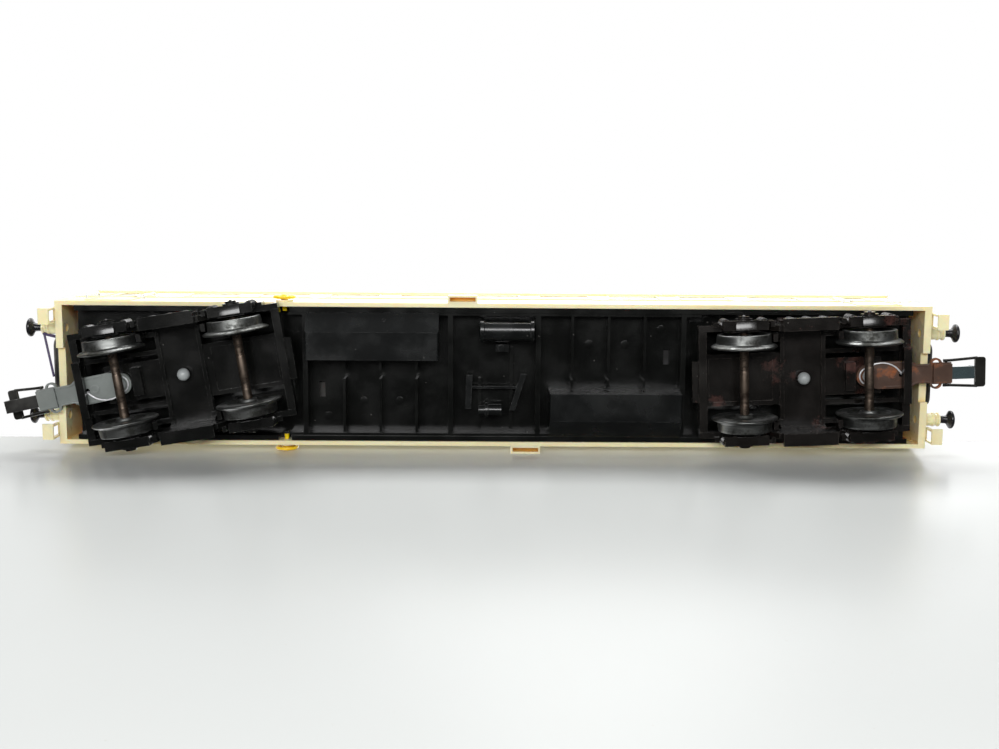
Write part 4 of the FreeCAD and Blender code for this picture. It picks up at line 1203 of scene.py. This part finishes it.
@dataclass(frozen=True)
class BodyTrim:
    """Panes and everything fixed outside the body: frames, rails, handles, gutters and ribs."""
    pitch: float = 15.6 * MM
    windows: int = 9
    window_half: float = 5.6 * MM
    window_low: float = 24.5 * MM
    window_high: float = 33.5 * MM
    face: float = 15.1 * MM
    door_x: float = 81.0 * MM
    door_window_half: float = 2.6 * MM
    end_face: float = 91.5 * MM
    rail: float = 0.17 * MM

    def side_place(self, side: Side) -> Place:
        """Frame on a body side.

        Args:
            side: Side of the coach.
        Returns:
            Frame whose ahead axis runs along the coach, side up the wall and up outwards.
        """
        out = np.array([0.0, float(side.value), 0.0])
        ahead = np.array([-float(side.value), 0.0, 0.0])
        return Place(out * self.face, ahead, UP, out)

    def window_rise(self) -> tuple[float, float]:
        """Middle height and half height of the windows."""
        low, high = self.window_low, self.window_high
        return (low + high) / 2, (high - low) / 2

    def window_spots(self) -> list[tuple[float, float]]:
        """Places of the windows and door windows along a side.

        Returns:
            Middle and half width of each.
        """
        steps = (self.windows - 1) // 2
        spots = [(x * self.pitch, self.window_half) for x in range(-steps, steps + 1)]
        return spots + [(sign * self.door_x, self.door_window_half) for sign in (-1, 1)]

    def panes(self, side: Side) -> list[Patch]:
        """Window panes: a rounded rectangle carried straight through the wall's thickness.

        Args:
            side: Side of the coach.
        Returns:
            One patch for each pane.
        """
        place, made = self.side_place(side), []
        middle, half_high = self.window_rise()
        gap = 0.06 * MM
        for x, half in self.window_spots():
            outline = round_rectangle(half - gap, half_high - gap, 0.85 * MM, 6)
            depth = np.array([(x, middle, out * MM) for out in (-0.75, -0.3, 0.02)])
            made.append(swept(outline[:, ::-1], place.put(depth), place.ahead))
        return made

    def gaskets(self, side: Side) -> list[Patch]:
        """Window frames: a small rounded section carried round each opening's edge.

        Args:
            side: Side of the coach.
        Returns:
            One patch for each opening.
        """
        place, made = self.side_place(side), []
        section = round_rectangle(0.24 * MM, 0.2 * MM, 0.09 * MM, 2)
        middle, half_high = self.window_rise()
        for x, half in self.window_spots():
            loop = round_rectangle(half, half_high, 0.9 * MM, 6)
            path = np.column_stack([loop[:, 0] + x, loop[:, 1] + middle, np.zeros(len(loop))])
            made.append(swept(section, place.put(path), place.up, True))
        return made

    def rails(self, side: Side) -> list[Patch]:
        """Grab rails beside the doors, each a tube that leaves the wall and returns, and handles.

        Args:
            side: Side of the coach.
        Returns:
            Patches of the rails, the door handles and their plates.
        """
        place, made = self.side_place(side), []
        for sign in (-1, 1):
            for offset in (-6.1 * MM, 6.1 * MM):
                x = sign * self.door_x + offset
                corners = np.array([(x, 18.0 * MM, -0.1 * MM), (x, 18.0 * MM, 0.75 * MM),
                                    (x, 26.0 * MM, 0.75 * MM), (x, 26.0 * MM, -0.1 * MM)])
                path = place.put(soften(corners, 0.5 * MM, 5))
                made.append(swept(circle(self.rail, 10), path, place.ahead))
            handle = place.at(sign * (self.door_x - 3.3 * MM), 22.6 * MM, 0.3 * MM)
            made.append(rounded_box((1.5 * MM, 0.36 * MM, 0.3 * MM), 0.12 * MM, handle))
            plate = place.at(sign * (self.door_x - 3.8 * MM), 22.6 * MM, 0.1 * MM)
            made.append(rounded_box((0.7 * MM, 1.5 * MM, 0.24 * MM), 0.08 * MM, plate))
        return made

    def gutter(self, side: Side) -> list[Patch]:
        """Rain gutter along the eave, and the window band's lower bead.

        Args:
            side: Side of the coach.
        Returns:
            One patch for each strip.
        """
        place, made = self.side_place(side), []
        for z, out, half in ((38.45, 0.08, 0.26), (22.9, 0.02, 0.16)):
            ends = np.array([(-91.2, z, out), (0.0, z, out), (91.2, z, out)]) * MM
            section = round_rectangle(half * MM, half * MM, 0.1 * MM, 3)
            made.append(swept(section, place.put(ends), place.up))
        return made

    def roof_line(self) -> Array:
        """Roof skin's section, read from the roof node's own end.

        Returns:
            Rows of distance across the coach and height, in order across.
        """
        points = node_points("roof")
        skin = points[points[:, 0] > points[:, 0].max() - 0.001 * MM]
        skin = skin[np.argsort(skin[:, 1])]
        across = np.linspace(-14.4 * MM, 14.4 * MM, 61)
        return np.column_stack([across, np.interp(across, skin[:, 1], skin[:, 2])])

    def roof_ribs(self) -> list[Patch]:
        """Roof seams: a low strip carried over the roof's section at even spacing.

        Returns:
            One patch for each seam.
        """
        line = self.roof_line()
        section = round_rectangle(0.28 * MM, 0.16 * MM, 0.1 * MM, 2)
        made = []
        for x in np.linspace(-82, 82, 11) * MM:
            path = np.column_stack([np.full(len(line), x), line[:, 0], line[:, 1]])
            made.append(swept(section[:, ::-1], path, np.array([1.0, 0, 0])))
        return made

    def end_rails(self, end: End) -> list[Patch]:
        """Upright rails on the end wall, one each side of the gangway.

        Args:
            end: End of the coach.
        Returns:
            One patch for each rail.
        """
        made = []
        for side in Side:
            x, y = end.value * self.end_face, side.value * 10.4 * MM
            out = end.value * 0.7 * MM
            corners = np.array([(x, y, 18 * MM), (x + out, y, 18 * MM),
                                (x + out, y, 29 * MM), (x, y, 29 * MM)])
            path = soften(corners, 0.5 * MM, 5)
            made.append(swept(circle(self.rail, 10), path, np.array([0, 1.0, 0])))
        return made

    def build(self) -> None:
        """Make and dress every piece of trim."""
        body = "coach_body"
        for side in Side:
            dress(make_piece(f"window_gaskets_{side.name}", self.gaskets(side)),
                  "cream_plastic", body)
            dress(make_piece(f"window_panes_{side.name}", self.panes(side)), "glazing", body,
                  (f"glazing_{side.name}",))
            dress(make_piece(f"door_rails_{side.name}", self.rails(side)), "spring_wire", body)
            dress(make_piece(f"rain_gutter_{side.name}", self.gutter(side)), "cream_plastic",
                  body)
        for end in End:
            dress(make_piece(f"end_rails_{end.name}", self.end_rails(end)), "spring_wire", body)
        dress(make_piece("roof_seams", self.roof_ribs()), "roof_grey", body)


@dataclass(frozen=True)
class RoofVents:
    """Mushroom ventilators on the ridge."""
    pitch: float = 31.2 * MM
    ridge: float = 45.9 * MM

    def build(self) -> None:
        """Turn each vent: flange, neck and domed cap with a lip."""
        patches = []
        rows = np.array([(0, 0), (0, 1.7), (0.15, 1.7), (0.25, 1.2), (0.5, 1.15), (0.5, 2.05),
                         (0.72, 2.1), (0.95, 1.5), (1.05, 0.8), (1.08, 0)]) * MM
        for x in np.arange(-2, 3) * self.pitch:
            spot = COACH.at(x, 0, self.ridge).turned_to("z", "x")
            patches.append(turned(soften(rows, 0.1 * MM, 3), spot, 36))
        dress(make_piece("ridge_vents", patches), "roof_grey", "coach_body", ("roof_vents",))


@dataclass(frozen=True)
class Gangway:
    """Folded rubber bellows round the end door, with a flat face frame."""
    end: End
    folds: int = 3
    depth: float = 0.7 * MM
    thick: float = 0.55 * MM
    frame_half: float = 0.75 * MM
    frame_back: float = 0.23 * MM

    def arch(self, middle: Array, half: Array, x: float, radius: float) -> Array:
        """Path round the door: a rounded rectangle in the plane of one x.

        Args:
            middle: Middle of the gangway's box.
            half: Half width and half height of the path.
            x: The plane's x.
            radius: Corner radius.
        Returns:
            The path's points.
        """
        loop = round_rectangle(half[0], half[1], radius, 8)
        return np.column_stack([np.full(len(loop), x), loop[:, 0], loop[:, 1] + middle[2]])

    def build(self) -> None:
        """Carry a zigzag section round the door's arch, and a flat frame at its outer end."""
        node = f"gangway_{self.end.name}"
        middle, half = node_box(node)
        count = 2 * self.folds + 1
        along = np.linspace(-half[0], half[0] - 0.45 * MM, count)
        waves = np.where(np.arange(count) % 2 == 0, 0.0, -self.depth)
        outer = np.column_stack([waves, along])
        inner = np.column_stack([waves[::-1] - self.thick, along[::-1]])
        section = soften(np.vstack([outer, inner]), 0.18 * MM, 3, True)
        out = np.array([float(self.end.value), 0, 0])
        path = self.arch(middle, half[1:], middle[0], 1.5 * MM)
        patches = [swept(section * [-1, 1], path, out, True)]
        plate = round_rectangle(self.frame_half, 0.22 * MM, 0.12 * MM, 2)
        face = middle[0] + out[0] * (half[0] - self.frame_back)
        ring = self.arch(middle, half[1:] - self.frame_half, face, 1.0 * MM)
        patches.append(swept(plate, ring, out, True))
        dress(make_piece(f"gangway_bellows_{self.end.name}", patches), "gangway_rubber",
              "coach_body", (node,))


@dataclass(frozen=True)
class FloorMarks:
    """Round ejector marks of the moulding under the floor."""
    floor: float = 15.0 * MM

    def build(self) -> None:
        """Turn each mark as a low disc, in the same pattern about both ends."""
        marks = []
        rows = soften(np.array([(0.05, 0), (0.05, 0.9), (-0.06, 1.0), (-0.06, 0)]) * MM,
                      0.03 * MM, 2)
        for sign in (-1, 1):
            for x, y in ((20.2, -6.2), (27.8, -6.2), (35.4, -9.5), (47.0, 0.0), (56.0, 7.5)):
                spot = COACH.at(sign * x * MM, sign * y * MM, self.floor).turned_to("-z", "x")
                marks.append(turned(rows, spot, 28))
        dress(make_piece("ejector_marks", marks), "floor_black", "coach_body")


# ---- stage, light and camera ----
@dataclass(frozen=True)
class Studio:
    """Pale table, pale ground, soft lights and the camera: lengths in mm, angles in degrees."""
    focus: float = 1183.1
    frame_width: float = 999.0
    eye: Point = (-0.98, -33.49, -235.25)
    heading: float = 0.4835
    pitch: float = 7.703
    roll: float = 0.4245

    def stage_material(self, name: str, colour: Colour, rough: float) -> bpy.types.Material:
        """Pale gloss surface with faint specks that is clear from behind and to shadow rays.

        Args:
            name: Name of the material.
            colour: Base colour.
            rough: Roughness of the gloss.
        Returns:
            The material.
        """
        made, graph, shader = new_material(name)
        where = graph.node("TexCoord", {}).outputs["Object"]
        dust = place_group(graph, "dust", {"Vector": where, "Film": 0.03, "Specks": 0.35})
        shade = graph.remap(graph.noise(where, 14.0, 3.0), 0.3, 0.7)
        base = graph.blend(shade, rgba(colour), rgba(tuple(0.97 * part for part in colour)))
        base = graph.blend(dust.outputs["Mask"], base, rgba((0.45, 0.43, 0.4)))
        graph.feed(shader, {"Base Color": base, "Roughness": rough})
        clear = graph.node("BsdfTransparent", {})
        back = graph.node("NewGeometry", {}).outputs["Backfacing"]
        shadow = graph.node("LightPath", {}).outputs["Is Shadow Ray"]
        mix = graph.node("MixShader", {0: graph.math("MAXIMUM", back, shadow),
                                       1: shader.outputs[0], 2: clear.outputs[0]})
        graph.feed(made.node_tree.nodes["Material Output"], {"Surface": mix.outputs[0]})
        return made

    def sheet(self, name: str, corners: Array, material: bpy.types.Material) -> bpy.types.Object:
        """Flat stage surface from four corners: every point is their bilinear mean.

        Args:
            name: Name of the surface.
            corners: Four corners in millimetres, in order, seen anticlockwise from its front.
            material: Its finish.
        Returns:
            The object.
        """
        mesh = bpy.data.meshes.new(name)
        mesh.from_pydata((np.array(corners, float) * MM).tolist(), [], [(0, 1, 2, 3)])
        mesh.materials.append(material)
        made = bpy.data.objects.new(name, mesh)
        bpy.context.scene.collection.objects.link(made)
        return made

    def surfaces(self) -> None:
        """The table that the coach lies against, on its far side, and ground under its wheels."""
        table = self.stage_material("table_gloss", (0.52, 0.535, 0.525), 0.27)
        near, far, top, low = 16.75, 14.1, 22.0, -420.0
        lean = (near - far) / (40.0 - 11.0)
        low_y, top_y = (near - lean * (z - 11.0) for z in (low, top))
        corners = [(-900, low_y, low), (900, low_y, low), (900, top_y, top), (-900, top_y, top)]
        self.sheet("table", corners, table).visible_glossy = False
        ground = self.stage_material("ground_matt", (0.8, 0.8, 0.8), 0.5)
        corners = [(-900, -900, -0.05), (900, -900, -0.05), (900, 900, -0.05), (-900, 900, -0.05)]
        plane = self.sheet("ground", corners, ground)
        for ray in ("diffuse", "glossy", "transmission", "shadow"):
            setattr(plane, f"visible_{ray}", False)

    def light(self, name: str, spot: Point, target: Point, size: float, power: float,
              length: float = 0.0) -> None:
        """Soft light aimed at a point: a square, or a strip along the coach.

        Args:
            name: Name of the light.
            spot: Its place, in millimetres.
            target: What it is aimed at, in millimetres.
            size: Side of the square or width of the strip, in metres.
            power: Power in watts.
            length: Length of a strip, in metres, or zero for a square.
        """
        lamp = bpy.data.lights.new(name, "AREA")
        lamp.shape = "RECTANGLE"
        lamp.size = length or size
        lamp.size_y = size
        lamp.energy = power
        holder = bpy.data.objects.new(name, lamp)
        bpy.context.scene.collection.objects.link(holder)
        holder.location = [part * MM for part in spot]
        direction = Vector(target) - Vector(spot)
        holder.rotation_euler = direction.to_track_quat("-Z", "Y").to_euler()

    def lights(self) -> None:
        """Strips at the window and over the underside, and lights for the roof and far side."""
        self.light("window_light", (0, -310, 135), (0, 0, 10), 0.1, 1.8, 0.5)
        self.light("lamp_light", (-30, -165, -430), (0, 0, 10), 0.12, 2.0, 0.5)
        self.light("sky_light", (60, -60, 380), (0, 0, 20), 0.4, 0.9)
        self.light("far_side_light", (-220, 300, 140), (0, 0, 20), 0.3, 0.6)

    def world(self) -> None:
        """White background for the eye, and a softer room, dark on the camera's side, for light."""
        world = bpy.data.worlds.new("room")
        bpy.context.scene.world = world
        world.use_nodes = True
        graph = Graph(world.node_tree)
        where = graph.node("TexCoord", {}).outputs["Generated"]
        parts = graph.node("SeparateXYZ", {0: where})
        window = graph.remap(graph.math("MULTIPLY", parts.outputs[1], -1.0), 0.0, 0.95)
        behind = graph.remap(parts.outputs[2], 0.25, 0.95)
        bright = graph.math("ADD", graph.math("MULTIPLY", window, 0.12),
                            graph.math("MULTIPLY", behind, 1.1))
        level = graph.math("ADD", bright, 0.035)
        seen = graph.node("LightPath", {}).outputs["Is Camera Ray"]
        strength = graph.node("Mix", {0: seen, 2: level, 3: 1.0}, data_type="FLOAT")
        graph.feed(world.node_tree.nodes["Background"],
                   {"Strength": strength.outputs[0], "Color": rgba((1.0, 1.0, 1.0))})

    def camera(self) -> None:
        """Camera below the underside, looking along the coach's height and slightly down."""
        turn, rise, tilt = (math.radians(a) for a in (self.heading, self.pitch, self.roll))
        forward = np.array([math.sin(turn) * math.cos(rise), math.sin(rise),
                            math.cos(turn) * math.cos(rise)])
        right = np.array([math.cos(turn), 0.0, -math.sin(turn)])
        above = np.cross(right, forward)
        above = above if above[1] < 0 else -above
        axis_x = right * math.cos(tilt) + above * math.sin(tilt)
        axis_y = above * math.cos(tilt) - right * math.sin(tilt)
        data = bpy.data.cameras.new("camera")
        data.sensor_width = 36.0
        data.lens = self.focus * data.sensor_width / self.frame_width
        data.clip_start = 0.01
        data.clip_end = 20.0
        eye = bpy.data.objects.new("camera", data)
        bpy.context.scene.collection.objects.link(eye)
        matrix = np.eye(4)
        matrix[:3, 0], matrix[:3, 1], matrix[:3, 2] = axis_x, axis_y, -forward
        matrix[:3, 3] = np.array(self.eye) * MM
        eye.matrix_world = Matrix(matrix.tolist())
        bpy.context.scene.camera = eye

    def build(self) -> None:
        """Set up the whole studio."""
        self.surfaces()
        self.lights()
        self.world()
        self.camera()
        bpy.context.scene.view_settings.view_transform = "Standard"


def main() -> None:
    """Build the coach's pieces in order, then the studio."""
    logging.basicConfig(level=logging.INFO, format="%(message)s")
    make_materials()
    for end in End:
        for spot in ("outer", "inner"):
            Wheelset(end, spot).build()
        BogieDetail(end).build()
        CouplerDetail(end).build()
        CouplerLoop(end).build()
        CentringWire(end).build()
        Gangway(end).build()
    for side in Side:
        Handwheel(side).build()
    BufferSet().build()
    BodyTrim().build()
    RoofVents().build()
    FloorMarks().build()
    Studio().build()


if __name__ == "__main__":
    main()
